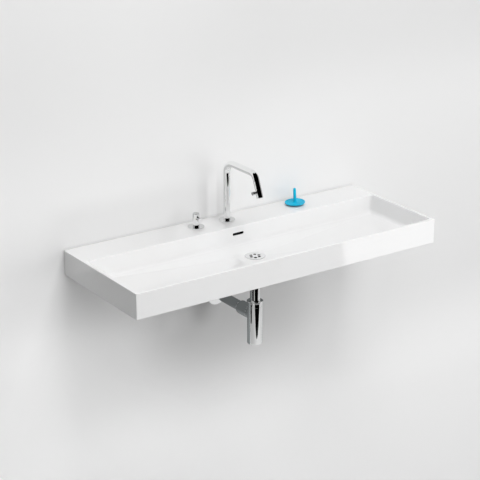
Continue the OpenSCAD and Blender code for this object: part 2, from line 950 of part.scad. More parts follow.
// The disc that closes the waterway as the knob turns, with its hub over the stem
module flow_disc() {
    swing_d = tube_bore - 1.6;
    hub_end = tube_bore / 2 - 2.6;
    hub_wall = 1.2;
    color(steel)
        at_knob()
            difference() {
                union() {
                    rotate([90, 0, 0])
                        intersection() {
                            cylinder(d = swing_d, h = flow_disc_t, center = true);
                            translate([-swing_d / 2, -tube_d, -swing_d / 2])
                                cube([swing_d, tube_d + hub_end, swing_d]);
                        }
                    translate([0, 0, -stem_d])
                        cylinder(d = stem_d + 2 * hub_wall, h = hub_end + stem_d);
                }
                translate([0, 0, flow_disc_t - seat_gap / 2])
                    cylinder(d = stem_d + 0.04, h = tube_d);
            }
}

// The valve's shank: two waterways that end below in sockets for the hoses
module valve_shank() {
    color(brass)
        at_tap(-valve_x)
            difference() {
                union() {
                    translate([0, 0, shank_z])
                        cylinder(d = shank_d, h = lip_z - shank_z);
                    translate([0, 0, lip_z - past])
                        cylinder(d = spigot_d, h = valve_spigot_l + past);
                }
                for (side = [-1, 1])
                    translate([side * way_x, 0, shank_z - past]) {
                        cylinder(d = way_d, h = shank_l + valve_spigot_l + 4 * past);
                        cylinder(d = socket_d, h = socket_l + past);
                    }
            }
}

// The valve's column: a bored body with a rounded crown and a chamber for the head
module valve_body() {
    r = tube_d / 2;
    deep = valve_spigot_l - cover_lip_t;
    color(chrome)
        at_tap(-valve_x)
            difference() {
                rotate_extrude() {
                    translate([0, cover_z])
                        square([r, valve_h - cover_t - column_edge_r]);
                    square_top = valve_top_z - column_edge_r - past;
                    translate([0, square_top])
                        square([r - column_edge_r, column_edge_r + past]);
                    intersection() {
                        translate([r - column_edge_r, valve_top_z - column_edge_r])
                            circle(r = column_edge_r);
                        translate([0, square_top])
                            square([r, column_edge_r + past]);
                    }
                }
                translate([0, 0, cover_z - past])
                    cylinder(d = tube_bore, h = deep + seat_gap + past);
                for (side = [-1, 1])
                    translate([side * way_x, 0, cover_z])
                        cylinder(d = way_d, h = valve_axis_z - cover_z);
                translate([0, head_back, valve_axis_z])
                    rotate([90, 0, 0])
                        cylinder(d = head_d, h = tube_d);
                translate([0, 0, cover_z + deep / 2])
                    rotate([-90, 0, 0])
                        cylinder(d = grub_d, h = tube_d);
            }
}

module valve_grub_screw() {
    z = cover_z + (valve_spigot_l - cover_lip_t) / 2;
    y0 = spigot_d / 2 + thread_fit;
    color(steel)
        at_tap(-valve_x)
            translate([0, y0, z])
                rotate([-90, 0, 0])
                    difference() {
                        cylinder(d = grub_d - 2 * turn_fit, h = tube_d / 2 - y0 - thread_fit);
                        translate([0, 0, tube_d / 2 - y0 - 1])
                            cylinder(d = 1.5, h = 2, $fn = 6);
                    }
}

// The quarter-turn head: a sleeve with two ports and a bore for the spindle
module valve_cartridge() {
    d = head_d - 2 * thread_fit;
    disc_t = 2.5;
    color(brass)
        at_tap(-valve_x)
            translate([0, head_back - seat_gap, valve_axis_z])
                rotate([90, 0, 0])
                    difference() {
                        cylinder(d = d, h = head_l);
                        translate([0, 0, head_l / 2])
                            cylinder(d = spindle_d + 2 * turn_fit, h = head_l);
                        for (side = [-1, 1])
                            translate([side * way_x, 0, head_l / 2 - disc_t])
                                rotate([-90, 0, 0])
                                    cylinder(d = way_d - 1.6, h = d);
                    }
}

module valve_spindle() {
    color(steel)
        at_tap(-valve_x)
            translate([0, head_back - seat_gap - head_l / 2 - seat_gap, valve_axis_z])
                rotate([90, 0, 0])
                    cylinder(d = spindle_d, h = head_l / 2 + valve_knob_l - 5);
}

// The knob: a round cap whose skirt covers the head's front
module valve_knob() {
    r = valve_knob_d / 2;
    y0 = -tube_d / 2 - seat_gap;
    bore_l = head_l / 2 + valve_knob_l - 5 - (tube_d / 2 + head_back - head_l / 2);
    color(chrome)
        at_tap(-valve_x)
            translate([0, y0, valve_axis_z])
                rotate([90, 0, 0])
                    difference() {
                        rotate_extrude()
                            polygon([
                                [0, 0], [r - 0.4, 0], [r, 0.4], [r, valve_knob_l - 1.4],
                                [r - 0.4, valve_knob_l - 0.4], [r - 1.4, valve_knob_l],
                                [0, valve_knob_l]
                            ]);
                        translate([0, 0, -past])
                            cylinder(d = head_d + 2 * pipe_fit, h = knob_skirt + past);
                        translate([0, 0, -past])
                            cylinder(d = spindle_d + 2 * thread_fit, h = bore_l + 2 * past);
                    }
}

// The silicone stopper, standing on the rounded underside of its disc
module stopper() {
    r = stopper_d / 2;
    stem_r = stopper_stem_d / 2;
    tip_r = stem_r * 0.85;
    lip = 1.5;
    sweep = asin((r - 2) / belly_r);
    top_z = stopper_belly + 2 * lip;
    color(silicone)
        translate([stopper_x, -stopper_y, rim_z + seat_gap + belly_r])
            rotate([0, -stopper_tilt, 0])
                translate([0, 0, -belly_r])
                    rotate_extrude()
                        polygon(concat(
                            [for (i = [0 : 8]) [
                                belly_r * sin(sweep * i / 8), belly_r * (1 - cos(sweep * i / 8))
                            ]],
                            [for (a = [-60 : 30 : 120]) [
                                r - lip + lip * cos(a), stopper_belly + lip + lip * sin(a)
                            ]],
                            [[r - 5, top_z - 1.2], [stem_r + 6, top_z - 0.9]],
                            [for (a = [15 : 15 : 75]) [
                                stem_r + 5 - 5 * sin(a), top_z + 4.1 - 5 * cos(a)
                            ]],
                            [[tip_r, stopper_h - tip_r]],
                            [for (a = [15 : 15 : 90]) [
                                tip_r * cos(a), stopper_h - tip_r + tip_r * sin(a)
                            ]]
                        ));
}

basin();
waste_grate();
waste_seal();
waste_under_seal();
waste_washer();
waste_back_nut();
tail_nut();
tail_gasket();
inlet_pipe();
collar_nut();
collar_seal();
trap_body();
trap_cup();
cup_oring();
outlet_nut();
outlet_seal();
wall_pipe();
wall_rosette();
cover_plate(0);  // spout_cover
cover_seal(0);  // spout_cover_seal
spout_shank();
spout_orings();
spout_glide_ring();
under_washer(0);  // spout_under_washer
clamp_plate(0);  // spout_clamp_plate
tap_back_nut(0);  // spout_back_nut
spout_tube();
aerator();
aerator_seal();
outlet_bonnet();
outlet_knob();
flow_disc();
cover_plate(-valve_x);  // valve_cover
cover_seal(-valve_x);  // valve_cover_seal
valve_shank();
under_washer(-valve_x);  // valve_under_washer
clamp_plate(-valve_x);  // valve_clamp_plate
tap_back_nut(-valve_x);  // valve_back_nut
valve_body();
valve_grub_screw();
valve_cartridge();
valve_spindle();
valve_knob();
stopper();
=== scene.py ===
# %% [markdown]
# # A wall-hung washbasin
# The object is a wide ceramic basin on a wall, with a chrome spout, a small valve, a
# grated waste, a bottle trap under it and a loose silicone stopper. The solids come from
# a CAD model, which stays as a fixed frame. Every visible piece is built again here in
# the same place, smooth and with its own finish, and rides on the body that it belongs to.

# %% Load the frame
import json
import math

import bmesh
import bpy
from mathutils import Euler, Matrix, Vector


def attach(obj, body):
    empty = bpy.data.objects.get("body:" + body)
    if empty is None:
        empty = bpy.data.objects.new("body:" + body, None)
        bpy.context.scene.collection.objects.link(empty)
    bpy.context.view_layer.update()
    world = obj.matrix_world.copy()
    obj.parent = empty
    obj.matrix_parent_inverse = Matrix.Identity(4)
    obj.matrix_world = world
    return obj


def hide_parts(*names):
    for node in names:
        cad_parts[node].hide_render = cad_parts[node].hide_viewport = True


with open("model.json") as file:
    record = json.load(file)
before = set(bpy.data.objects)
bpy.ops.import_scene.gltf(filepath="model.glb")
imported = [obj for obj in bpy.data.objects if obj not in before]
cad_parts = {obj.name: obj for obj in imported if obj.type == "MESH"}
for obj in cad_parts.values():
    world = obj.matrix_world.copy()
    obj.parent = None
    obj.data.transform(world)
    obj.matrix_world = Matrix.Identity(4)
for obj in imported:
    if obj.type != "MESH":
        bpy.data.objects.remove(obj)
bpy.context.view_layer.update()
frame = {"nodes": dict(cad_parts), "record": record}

# %% [markdown]
# ## The camera
# The photograph is taken with a long lens from the left, a little above the basin. The
# angle and the distance were solved from the basin's own corners, so no shift is needed.


# %% Place the camera
def linked(name, data):
    """A new object in the scene that holds the data."""
    made = bpy.data.objects.new(name, data)
    bpy.context.scene.collection.objects.link(made)
    return made


LENS_MM, SENSOR_MM, SEES_TO_M = 116.227, 36, 100
EYE = (-2.57896, -3.87433, 1.68187)
TILT, PAN = 69.606, -34.576
camera = bpy.data.cameras.new("camera")
camera.lens, camera.sensor_width, camera.clip_end = LENS_MM, SENSOR_MM, SEES_TO_M
camera_stand = linked("camera_stand", camera)
camera_stand.location = EYE
camera_stand.rotation_euler = Euler((math.radians(TILT), 0, math.radians(PAN)))
bpy.context.scene.camera = camera_stand
bpy.context.scene.view_settings.view_transform = "Standard"
print("camera at", tuple(round(v, 2) for v in camera_stand.location))

# %% [markdown]
# ## A small language for finishes
# A shader is a sum of small nodes. Written as Python sums it stays readable: `Flow` wraps
# one output socket, its operators add Math nodes, and `node` adds any other kind. The
# other way, placing nodes by hand and saving a file, can't be read or changed as text.


# %% Shader sums
def wired(tree, kind, sockets, settings):
    """A new node whose sockets are set to values or wired to other sockets."""
    made = tree.nodes.new(kind)
    for name, value in settings.items():
        setattr(made, name, value)
    for name, value in sockets.items():
        if isinstance(value, bpy.types.NodeSocket):
            tree.links.new(value, made.inputs[name])
        else:
            made.inputs[name].default_value = value
    return made


class Flow:
    """One output socket of a material's tree."""

    def __init__(self, tree, socket=None):
        self.tree, self.socket = tree, socket

    def node(self, kind, sockets=None, out=0, **settings):
        plain = {name: value.socket if isinstance(value, Flow) else value
                 for name, value in (sockets or {}).items()}
        made = wired(self.tree, "ShaderNode" + kind, plain, settings)
        return Flow(self.tree, made.outputs[out]) if len(made.outputs) else made

    def math(self, operation, *values):
        return self.node("Math", dict(enumerate(values or (self,))), operation=operation)

    def __add__(self, other):
        return self.math("ADD", self, other)

    def __sub__(self, other):
        return self.math("SUBTRACT", self, other)

    def __mul__(self, other):
        return self.math("MULTIPLY", self, other)

    def __rsub__(self, other):
        return self.math("SUBTRACT", other, self)

    __radd__ = __add__
    __rmul__ = __mul__

    def step(self, low, high):
        """0 below low, 1 above high, smooth between."""
        return self.node("MapRange", {
            "Value": self, "From Min": low, "From Max": high}, interpolation_type="SMOOTHSTEP")

    def hill(self, low, full, fall, end):
        """0 below low, 1 from full to fall, 0 again above end."""
        return self.step(low, full) - self.step(fall, end)

    def axis(self, index):
        """One Object coordinate, in metres."""
        place = self.node("TexCoord", out=3)
        return self.node("SeparateXYZ", {"Vector": place}, out=index)

    def noise(self, scale, detail=2.0, stretch=(1, 1, 1)):
        """Noise from 0 to 1, with scale in patches a metre, on Object coordinates."""
        place = self.node("TexCoord", out=3)
        place = self.node("Mapping", {"Vector": place, "Scale": stretch})
        return self.node("TexNoise", {
            "Vector": place, "Scale": scale, "Detail": detail})

    def blend(self, mask, first, second):
        """The first colour where mask is 0 and the second where it is 1."""
        return self.node("Mix", {0: mask, 6: first, 7: second}, 2, data_type="RGBA")

    def bump(self, height, depth):
        """Normals from a height of 0 to 1 that stands for depth in metres."""
        return self.node("Bump", {"Height": height, "Distance": depth})


def emptied(block):
    """The node tree of a material or a world, emptied, as a Flow."""
    block.use_nodes = True
    block.node_tree.nodes.clear()
    return Flow(block.node_tree)


def finish(name, sockets, recipe):
    """A material on one Principled shader. recipe gets a Flow and gives varying sockets."""
    paint = bpy.data.materials.new(name)
    paint.use_nodes = True
    tree = paint.node_tree
    shader = tree.nodes["Principled BSDF"]
    for socket, value in sockets.items():
        shader.inputs[socket].default_value = value
    for socket, flow in recipe(Flow(tree)).items():
        tree.links.new(flow.socket, shader.inputs[socket])
    return paint


print("shader language ready")

# %% [markdown]
# ## Ceramic glaze
# Sanitary glaze is a thick clear-white glass over a cast body. It lies in very shallow
# waves, is slightly uneven in gloss, and isn't sprayed on the face that goes to the wall
# or on the foot of the apron, where the bare body shows. One material does all of it: a
# mask on the object's own coordinates swaps glass for bare body.


# %% The glaze
def grey(level, warmth=0.0):
    """A colour of that lightness, a little warmer or cooler."""
    return (level + warmth, level, level - warmth, 1)


def glaze_recipe(flow):
    """White glass, bare body on the back and the foot, and painted shade that makes the
    overflow duct's walls near black.
    """
    cloud = flow.noise(2.2, 3.0).step(0.3, 0.7)
    wave = flow.noise(26.0, 1.0)
    grain = flow.noise(1400.0, 2.0)
    side, depth, height = flow.axis(0), flow.axis(1), flow.axis(2)
    back = depth.step(-0.0014, -0.0004)
    foot = height.step(-0.04485, -0.04495)
    bare = back.math("MAXIMUM", back, foot)
    # Painted shade: the overflow duct is masked and painted near black, for the shade deep in
    # it.
    ends = depth.hill(-0.1215, -0.1195, -0.0985, -0.0975)
    duct = side.hill(-0.0222, -0.0212, 0.0212, 0.0222) * ends
    duct = duct * (1.0 - height.step(0.0172, 0.0182))
    glass = flow.blend(cloud, grey(0.808, 0.002), grey(0.822, -0.002))
    glass = flow.blend(duct, glass, grey(0.02))
    return {
        "Base Color": flow.blend(bare, glass, grey(0.72, 0.02)),
        "Roughness": 0.025 + cloud * 0.025 + bare * 0.7,
        "Normal": flow.bump(wave + bare * grain * 0.4, 0.00008),
    }


glaze = finish("white_glaze", {"IOR": 1.5}, glaze_recipe)
print("glaze ready")

# %% [markdown]
# ## Chrome plate
# Polished chrome is a mirror over a polished brass casting. What makes it look real is
# that the mirror isn't flat: the buffing leaves shallow waves and faint hairlines, and the
# gloss changes a little from place to place.


# %% The chrome
def chrome_recipe(flow):
    """A mirror with shallow waves, faint hairlines and a slightly uneven gloss."""
    wave = flow.noise(38.0, 1.0)
    hair = flow.noise(700.0, 3.0, (1, 1, 0.05))
    cloud = flow.noise(14.0, 2.0).step(0.35, 0.7)
    return {
        "Base Color": flow.blend(cloud, (0.90, 0.905, 0.905, 1), (0.925, 0.93, 0.93, 1)),
        "Roughness": 0.015 + cloud * 0.02 + hair * 0.015,
        "Normal": flow.bump(wave + hair * 0.02, 0.00005),
    }


chrome = finish("chrome_plate", {"Metallic": 1.0}, chrome_recipe)


def waste_recipe(flow):
    """Chrome, but with painted shade down the tail's bore, which is dark and matt."""
    made = chrome_recipe(flow)
    # Painted shade: the tail's bore under the grate is painted dark and rough, as it lies in
    # shade.
    across, along = flow.axis(0), flow.axis(1) + 0.215
    spread = (across * across + along * along).math("SQRT")
    painted_tail_shade = (1.0 - spread.step(0.0194, 0.0195)) * (1.0 - flow.axis(2).step(-0.0362, -0.0358))
    return {
        "Base Color": flow.blend(painted_tail_shade, made["Base Color"], (0.03, 0.028, 0.025, 1)),
        "Roughness": made["Roughness"] + painted_tail_shade * 0.5,
        "Normal": made["Normal"],
    }


waste_chrome = finish("waste_chrome", {"Metallic": 1.0}, waste_recipe)
print("chrome ready")

# %% [markdown]
# ## The working metals, rubber, plastic and silicone
# Parts that nobody sees from the room aren't plated. Turned brass and steel keep the fine
# rings of the lathe, which lie across the axis, so a noise that is stretched out in X and
# Y and tight in Z draws them. Rubber, plastic and silicone have a moulded grain, and the
# silicone is a satin, saturated blue.


# %% The other finishes
def turned_recipe(dark, light):
    """Bare metal with the rings of the lathe and a little stain."""
    def recipe(flow):
        rings = flow.noise(90.0, 3.0, (0.4, 0.4, 30))
        stain = flow.noise(60.0, 3.0).step(0.35, 0.75)
        return {
            "Base Color": flow.blend(stain, dark, light),
            "Roughness": 0.24 + rings * 0.16 + stain * 0.06,
            "Normal": flow.bump(rings, 0.00003),
        }
    return recipe


def moulded_recipe(dark, light, rough, depth):
    """A moulded skin whose grain is so deep, in metres."""
    def recipe(flow):
        cloud = flow.noise(35.0, 3.0).step(0.3, 0.75)
        grain = flow.noise(1600.0, 3.0)
        return {
            "Base Color": flow.blend(cloud, dark, light),
            "Roughness": rough + grain * 0.12,
            "Normal": flow.bump(grain, depth),
        }
    return recipe


paints = {
    "ceramic": glaze,
    "chrome": chrome,
    "brass": finish("turned_brass", {"Metallic": 1.0}, turned_recipe(
        (0.66, 0.47, 0.22, 1), (0.78, 0.60, 0.31, 1))),
    "steel": finish("turned_steel", {"Metallic": 1.0}, turned_recipe(
        (0.55, 0.56, 0.57, 1), (0.66, 0.67, 0.68, 1))),
    "rubber": finish("black_rubber", {}, moulded_recipe(
        (0.018, 0.018, 0.019, 1), (0.032, 0.032, 0.033, 1), 0.55, 0.00004)),
    "glide_plastic": finish("glide_plastic", {}, moulded_recipe(
        (0.76, 0.75, 0.71, 1), (0.82, 0.81, 0.77, 1), 0.4, 0.00002)),
    "silicone": finish("blue_silicone", {"Specular IOR Level": 0.15}, moulded_recipe(
        (0.004, 0.43, 0.66, 1), (0.006, 0.48, 0.71, 1), 0.4, 0.00002)),
}
for row in frame["record"]["subparts"]:
    node = frame["nodes"][row["node"]]
    node.data.materials.clear()
    node.data.materials.append(paints[row["material_slot"]])
print("finishes ready:", len(paints))

# %% [markdown]
# ## Turned pieces
# Most fittings are turned on a lathe, so they are made as a maker thinks of them: half a
# section, drawn as corners in millimetres with a small radius on each, and spun round an
# axis. A cylinder with a bevel could do for one of them, but the section holds the bore,
# the grooves and the lips as well, and every edge gets the radius that its tool leaves.


# %% The lathe
MM = 0.001
UP, TO_WALL, TO_FRONT, TO_LEFT = (0, 0, 1), (0, 1, 0), (0, -1, 0), (-1, 0, 0)


def polar(x, y, r, degrees, z):
    """The point at that distance and direction from (x, y)."""
    turn = math.radians(degrees)
    return x + r * math.cos(turn), y + r * math.sin(turn), z


def rounded(corners, steps=5):
    """Corners (radius, height, fillet) in millimetres, as points with each fillet drawn."""
    points = []
    for index, (r, z, *fillet) in enumerate(corners):
        here = Vector((r, z))
        if not fillet:
            points.append(here)
            continue
        before = Vector(corners[index - 1][:2]) - here
        after = Vector(corners[(index + 1) % len(corners)][:2]) - here
        half = before.angle(after) / 2
        cut = min(fillet[0] / math.tan(half), before.length * 0.49, after.length * 0.49)
        start, end = here + before.normalized() * cut, here + after.normalized() * cut
        for step in range(steps + 1):
            t = step / steps
            points.append(start * (1 - t) ** 2 + here * 2 * t * (1 - t) + end * t * t)
    return points


def made_from(name, shape):
    """A new object from a bmesh, with its points merged and its faces turned outwards."""
    bmesh.ops.remove_doubles(shape, verts=shape.verts, dist=1e-7)
    bmesh.ops.recalc_face_normals(shape, faces=shape.faces)
    mesh = bpy.data.meshes.new(name)
    shape.to_mesh(mesh)
    shape.free()
    return linked(name, mesh)


def turned(name, corners, at=(0, 0, 0), along=UP, around=96):
    """A section spun round an axis through at, which points along."""
    points = rounded(corners)
    turn = Vector(along).to_track_quat("Z", "Y").to_matrix()
    shape = bmesh.new()
    rings = []
    for r, z in points:
        spots = [polar(0, 0, r, 360 * i / around, z) for i in range(1 if r < 1e-6 else around)]
        rings.append([shape.verts.new((Vector(at) + turn @ Vector(p)) * MM) for p in spots])
    for ring, following in zip(rings, rings[1:] + rings[:1]):
        for i in range(around):
            j = (i + 1) % around
            face = [ring[i % len(ring)], ring[j % len(ring)],
                    following[j % len(following)], following[i % len(following)]]
            face = list(dict.fromkeys(face))
            if len(face) > 2:
                shape.faces.new(face)
    return made_from(name, shape)


print("lathe ready")

# %% [markdown]
# ## Cutting, and settling a piece in its place
# Holes are cut with the Boolean modifier, which is made final at once, so each piece ends
# as a plain mesh. `settled` then gives it what every piece needs: smooth shading that stays
# sharp at real edges, even normals on large flats, its finish, its material slot and the body
# that it rides on, and it hides the CAD node that it stands for.


# %% Carve and settle
def frozen(piece):
    """The piece with its modifiers made final."""
    bpy.context.view_layer.update()
    view = bpy.context.evaluated_depsgraph_get()
    mesh = bpy.data.meshes.new_from_object(piece.evaluated_get(view))
    piece.modifiers.clear()
    piece.data = mesh
    mesh.name = piece.name
    return piece


def carved(piece, *tools, how="DIFFERENCE"):
    """The piece after each tool has cut it, or has been joined to it."""
    for tool in tools:
        cut = piece.modifiers.new("cut", "BOOLEAN")
        cut.operation, cut.solver, cut.object = how, "EXACT", tool
    frozen(piece)
    for tool in tools:
        bpy.data.objects.remove(tool)
    return piece


def settled(piece, body="basin", slot="chrome", stands_for=None, sharp=32, paint=None):
    """Shades, paints and seats a piece that is otherwise finished."""
    mesh = piece.data
    mesh.materials.clear()
    mesh.materials.append(paint or paints[slot])
    for face in mesh.polygons:
        face.material_index = 0
    mesh.shade_smooth()
    mesh.set_sharp_from_angle(angle=math.radians(sharp))
    even = piece.modifiers.new("even_normals", "WEIGHTED_NORMAL")
    even.keep_sharp = True
    frozen(piece)
    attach(piece, body)
    if stands_for:
        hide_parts(stands_for)
    print(piece.name, len(piece.data.polygons), "faces")
    return piece


def fitted(name, stands_for, corners, at, along=UP, around=128, body="basin"):
    """A turned piece that needs no more work, settled in its place."""
    settled(turned(name, corners, at, along, around), body, stands_for=stands_for)


print("helpers ready")

# %% [markdown]
# ## The basin's loops
# The basin is a casting whose levels are all rounded rectangles, from the foot of the
# apron over the rim and down to the waste. A subdivided cube would bulge, so it is lofted:
# every level has the same number of points, and neighbouring levels are joined by a band
# of four-sided faces. The points on the long sides bunch towards the middle as rays from
# the waste would, which lets the floor run into the round waste without a twist.

# %% Sizes of the basin, in millimetres
WIDE, DEEP, RIM, FOOT = 1100, 420, 35, -45
WALL, LEDGE, FLOOR, UNDER_LEDGE = 10, 120, 10, 23
BOWL_DEPTH, SIDE_LEAN, END_LEAN, COVE, CORNER = 58, 14, 7, 13, 9
WASTE_Y, WASTE_Z, WASTE_HOLE, FLANGE_SEAT = -215, -35, 23, 32.2
TAP_Y, TAP_HOLE, VALVE_X = -60, 17.5, -116
REACH, SIDE_REACH = 72, 12
LONG, SHORT, ARC = 28, 8, 6
long_parts = [math.tan(math.radians(REACH * (2 * i / LONG - 1))) / math.tan(math.radians(REACH))
              for i in range(LONG + 1)]
short_parts = [2 * i / SHORT - 1 for i in range(SHORT + 1)]


def arc(x, y, r, start, z):
    """The points of a corner between its two ends, over a quarter turn from start."""
    return [polar(x, y, r, start + 90 * i / ARC, z) for i in range(1, ARC)]


def box_loop(half, front, rear, corner, z, rear_corner=None):
    """Points round a rounded rectangle, from its front left corner, anticlockwise."""
    back = corner if rear_corner is None else rear_corner
    xf, xb, yf, yb = half - corner, half - back, front + corner, rear - back
    middle, run = (yf + yb) / 2, (yb - yf) / 2
    return (
        [(part * xf, front, z) for part in long_parts]
        + arc(xf, yf, corner, -90, z)
        + [(half, middle + part * run, z) for part in short_parts]
        + arc(xb, yb, back, 0, z)
        + [(-part * xb, rear, z) for part in long_parts]
        + arc(-xb, yb, back, 90, z)
        + [(-half, middle - part * run, z) for part in short_parts]
        + arc(-xf, yf, corner, 180, z)
    )


def round_loop(r, z):
    """The same number of points round the waste, each facing its point on a box loop."""
    angles = []
    gap = 90 - REACH - SIDE_REACH
    for turn in (0, 180):
        angles += [turn - 90 + REACH * (2 * i / LONG - 1) for i in range(LONG + 1)]
        angles += [turn - 90 + REACH + gap * i / ARC for i in range(1, ARC)]
        angles += [turn + SIDE_REACH * part for part in short_parts]
        angles += [turn + SIDE_REACH + gap * i / ARC for i in range(1, ARC)]
    return [polar(0, WASTE_Y, r, a, z) for a in angles]


def bowl_loop(depth, cove=0.0, grow=0.0, lower=0.0):
    """One level of the bowl, drawn in by the walls' lean and by the cove."""
    side = depth * SIDE_LEAN / BOWL_DEPTH + cove - grow
    end = depth * END_LEAN / BOWL_DEPTH + cove - grow
    return box_loop(WIDE / 2 - WALL - side, -DEEP + WALL + end, -LEDGE - end,
                    CORNER + grow, RIM - depth - lower)


def between(first, second, t):
    """A loop part of the way from one to the other."""
    return [tuple(a + (b - a) * t for a, b in zip(p, q)) for p, q in zip(first, second)]


def lofted(name, loops):
    """A closed solid through loops of equal length, flat at both ends."""
    shape = bmesh.new()
    rows = [[shape.verts.new(Vector(point) * MM) for point in loop] for loop in loops]
    for low, high in zip(rows, rows[1:]):
        for i in range(len(low)):
            j = (i + 1) % len(low)
            shape.faces.new((low[i], low[j], high[j], high[i]))
    shape.faces.new(rows[0])
    shape.faces.new(rows[-1])
    return made_from(name, shape)


print("points in a loop:", len(box_loop(550, -420, 0, 2, 0)), len(round_loop(35, 0)))

# %% [markdown]
# ## The basin
# First comes the block with its bowl, as one loft: foot, apron, soft rim, ledge, leaning
# walls, cove and the floor that falls to the waste. The underside is then hollowed to an
# even wall with a box that has the outside of the bowl left standing in it. The overflow
# duct and the bosses are joined on, and the holes are cut last, as in the clay.


# %% Build the basin
def box(name, x0, x1, y0, y1, z0, z1):
    """A plain tool for cutting, with square corners."""
    shape = bmesh.new()
    bmesh.ops.create_cube(shape, size=1)
    low, high = Vector((x0, y0, z0)), Vector((x1, y1, z1))
    for vert in shape.verts:
        vert.co = ((low + high) / 2 + vert.co * (high - low)) * MM
    return made_from(name, shape)


def rod(name, r, length, at, along=UP, around=64):
    """A plain round tool for cutting."""
    return turned(name, [(0, 0), (r, 0), (r, length), (0, length)], at, along, around)


def quarter(radius, every=15):
    """Points of a quarter circle, each with its distance from the side and from the end."""
    angles = [math.radians(a) for a in range(0, 91, every)]
    return [(radius * (1 - math.sin(a)), radius * (1 - math.cos(a))) for a in angles]


EDGE, MOUTH, FLAT, SEAT_DEPTH = 2.0, 1.5, 35, 3
loops = [box_loop(WIDE / 2 - inset, -DEEP + inset, 0, EDGE, FOOT + rise, 1)
         for inset, rise in quarter(EDGE)]
loops += [box_loop(WIDE / 2 - inset, -DEEP + inset, -inset, EDGE, RIM - drop, 1)
          for inset, drop in reversed(quarter(EDGE))]
loops += [bowl_loop(0, 0, grow, drop) for grow, drop in quarter(MOUTH)]
loops += [bowl_loop(depth) for depth in (6, 14, 24, 34, 41)]
loops += [bowl_loop(BOWL_DEPTH - rise, inset) for rise, inset in quarter(COVE, 6)]
floor_edge, floor_end = loops[-1], round_loop(FLAT, WASTE_Z)
loops += [between(floor_edge, floor_end, t) for t in (0.08, 0.2, 0.35, 0.5, 0.65, 0.8, 0.92)]
loops += [round_loop(r, WASTE_Z - drop) for r, drop in (
    (FLAT, 0), (FLANGE_SEAT + 0.5, 0), (FLANGE_SEAT + 0.1, 0.15), (FLANGE_SEAT, 0.6),
    (FLANGE_SEAT, SEAT_DEPTH), (12, SEAT_DEPTH))]
basin = lofted("basin_casting", loops)

outside = [bowl_loop(0, 0, FLOOR, -4), bowl_loop(0, 0, FLOOR)]
outside += [bowl_loop(BOWL_DEPTH - rise, inset, FLOOR, FLOOR)
            for rise, inset in quarter(COVE, 10)]
outside.append(round_loop(40, WASTE_Z - FLOOR))
hollow = lofted("hollow", [
    box_loop(WIDE / 2 - WALL - inset, -DEEP + WALL + inset, -WALL - inset, turn, z)
    for inset, turn, z in ((0, 6, FOOT - 1), (0, 6, UNDER_LEDGE - 4),
                           (1.2, 5, UNDER_LEDGE - 1.2), (4, 3, UNDER_LEDGE))])
carved(hollow, lofted("outside_of_bowl", outside))
carved(basin, hollow)
print("hollowed:", len(basin.data.polygons), "faces")

# %% [markdown]
# ### Ducts, bosses and holes
# Water that rises to the slot falls down a closed duct behind the bowl and runs forward
# to the waste. The duct is part of the casting, so it is joined on and then bored.

# %% Join and cut
BOSS_Z, BOSS_R, BOSS_TOP = -67, 39, -39
DUCT_HALF, DUCT_BACK, DUCT_WALL = 21, -99, 8
BOLT_X, BOLT_R, PAD_R = 280, 7, 20
SLOT_R, SLOT_HALF, SLOT_Z = 4.4, 16.6, 10.9
duct_side, duct_rear = DUCT_HALF + DUCT_WALL, DUCT_BACK + DUCT_WALL
carved(
    basin,
    box("duct_outside", -duct_side, duct_side, -LEDGE, duct_rear, BOSS_Z, UNDER_LEDGE + 1),
    box("run_outside", -duct_side, duct_side, WASTE_Y, duct_rear, BOSS_Z, -43),
    rod("waste_boss", BOSS_R, BOSS_TOP - BOSS_Z, (0, WASTE_Y, BOSS_Z), around=96),
    rod("left_pad", PAD_R, 9, (-BOLT_X, -18, 0), TO_WALL),
    rod("right_pad", PAD_R, 9, (BOLT_X, -18, 0), TO_WALL),
    how="UNION",
)
slot_shape = rod("slot_end", SLOT_R, 20, (-SLOT_HALF, -130, SLOT_Z), TO_WALL, 48)
for vert in slot_shape.data.vertices:
    if vert.co.x > -SLOT_HALF * MM:
        vert.co.x += 2 * SLOT_HALF * MM
carved(
    basin,
    box("duct_inside", -DUCT_HALF, DUCT_HALF, -118.5, DUCT_BACK, BOSS_Z + DUCT_WALL, 17),
    box("run_inside", -DUCT_HALF, DUCT_HALF, WASTE_Y, DUCT_BACK, BOSS_Z + DUCT_WALL, -45),
    slot_shape,
    rod("waste_hole", WASTE_HOLE, 40, (0, WASTE_Y, BOSS_Z - 1), around=96),
    rod("spout_hole", TAP_HOLE, 15, (0, TAP_Y, UNDER_LEDGE - 1)),
    rod("valve_hole", TAP_HOLE, 15, (VALVE_X, TAP_Y, UNDER_LEDGE - 1)),
    rod("left_bolt_hole", BOLT_R, 22, (-BOLT_X, -20, 0), TO_WALL),
    rod("right_bolt_hole", BOLT_R, 22, (BOLT_X, -20, 0), TO_WALL),
)
settled(basin, slot="ceramic", stands_for="basin", sharp=28)

# %% [markdown]
# ## Geometry Nodes, as text
# What repeats or follows a path is made by Geometry Nodes. `Plan` builds such a tree from
# text: named sizes go in, sockets are wired by name, and each tree ends with Realize
# Instances and Set Material. `grown` runs the tree on an object and keeps the plain mesh.


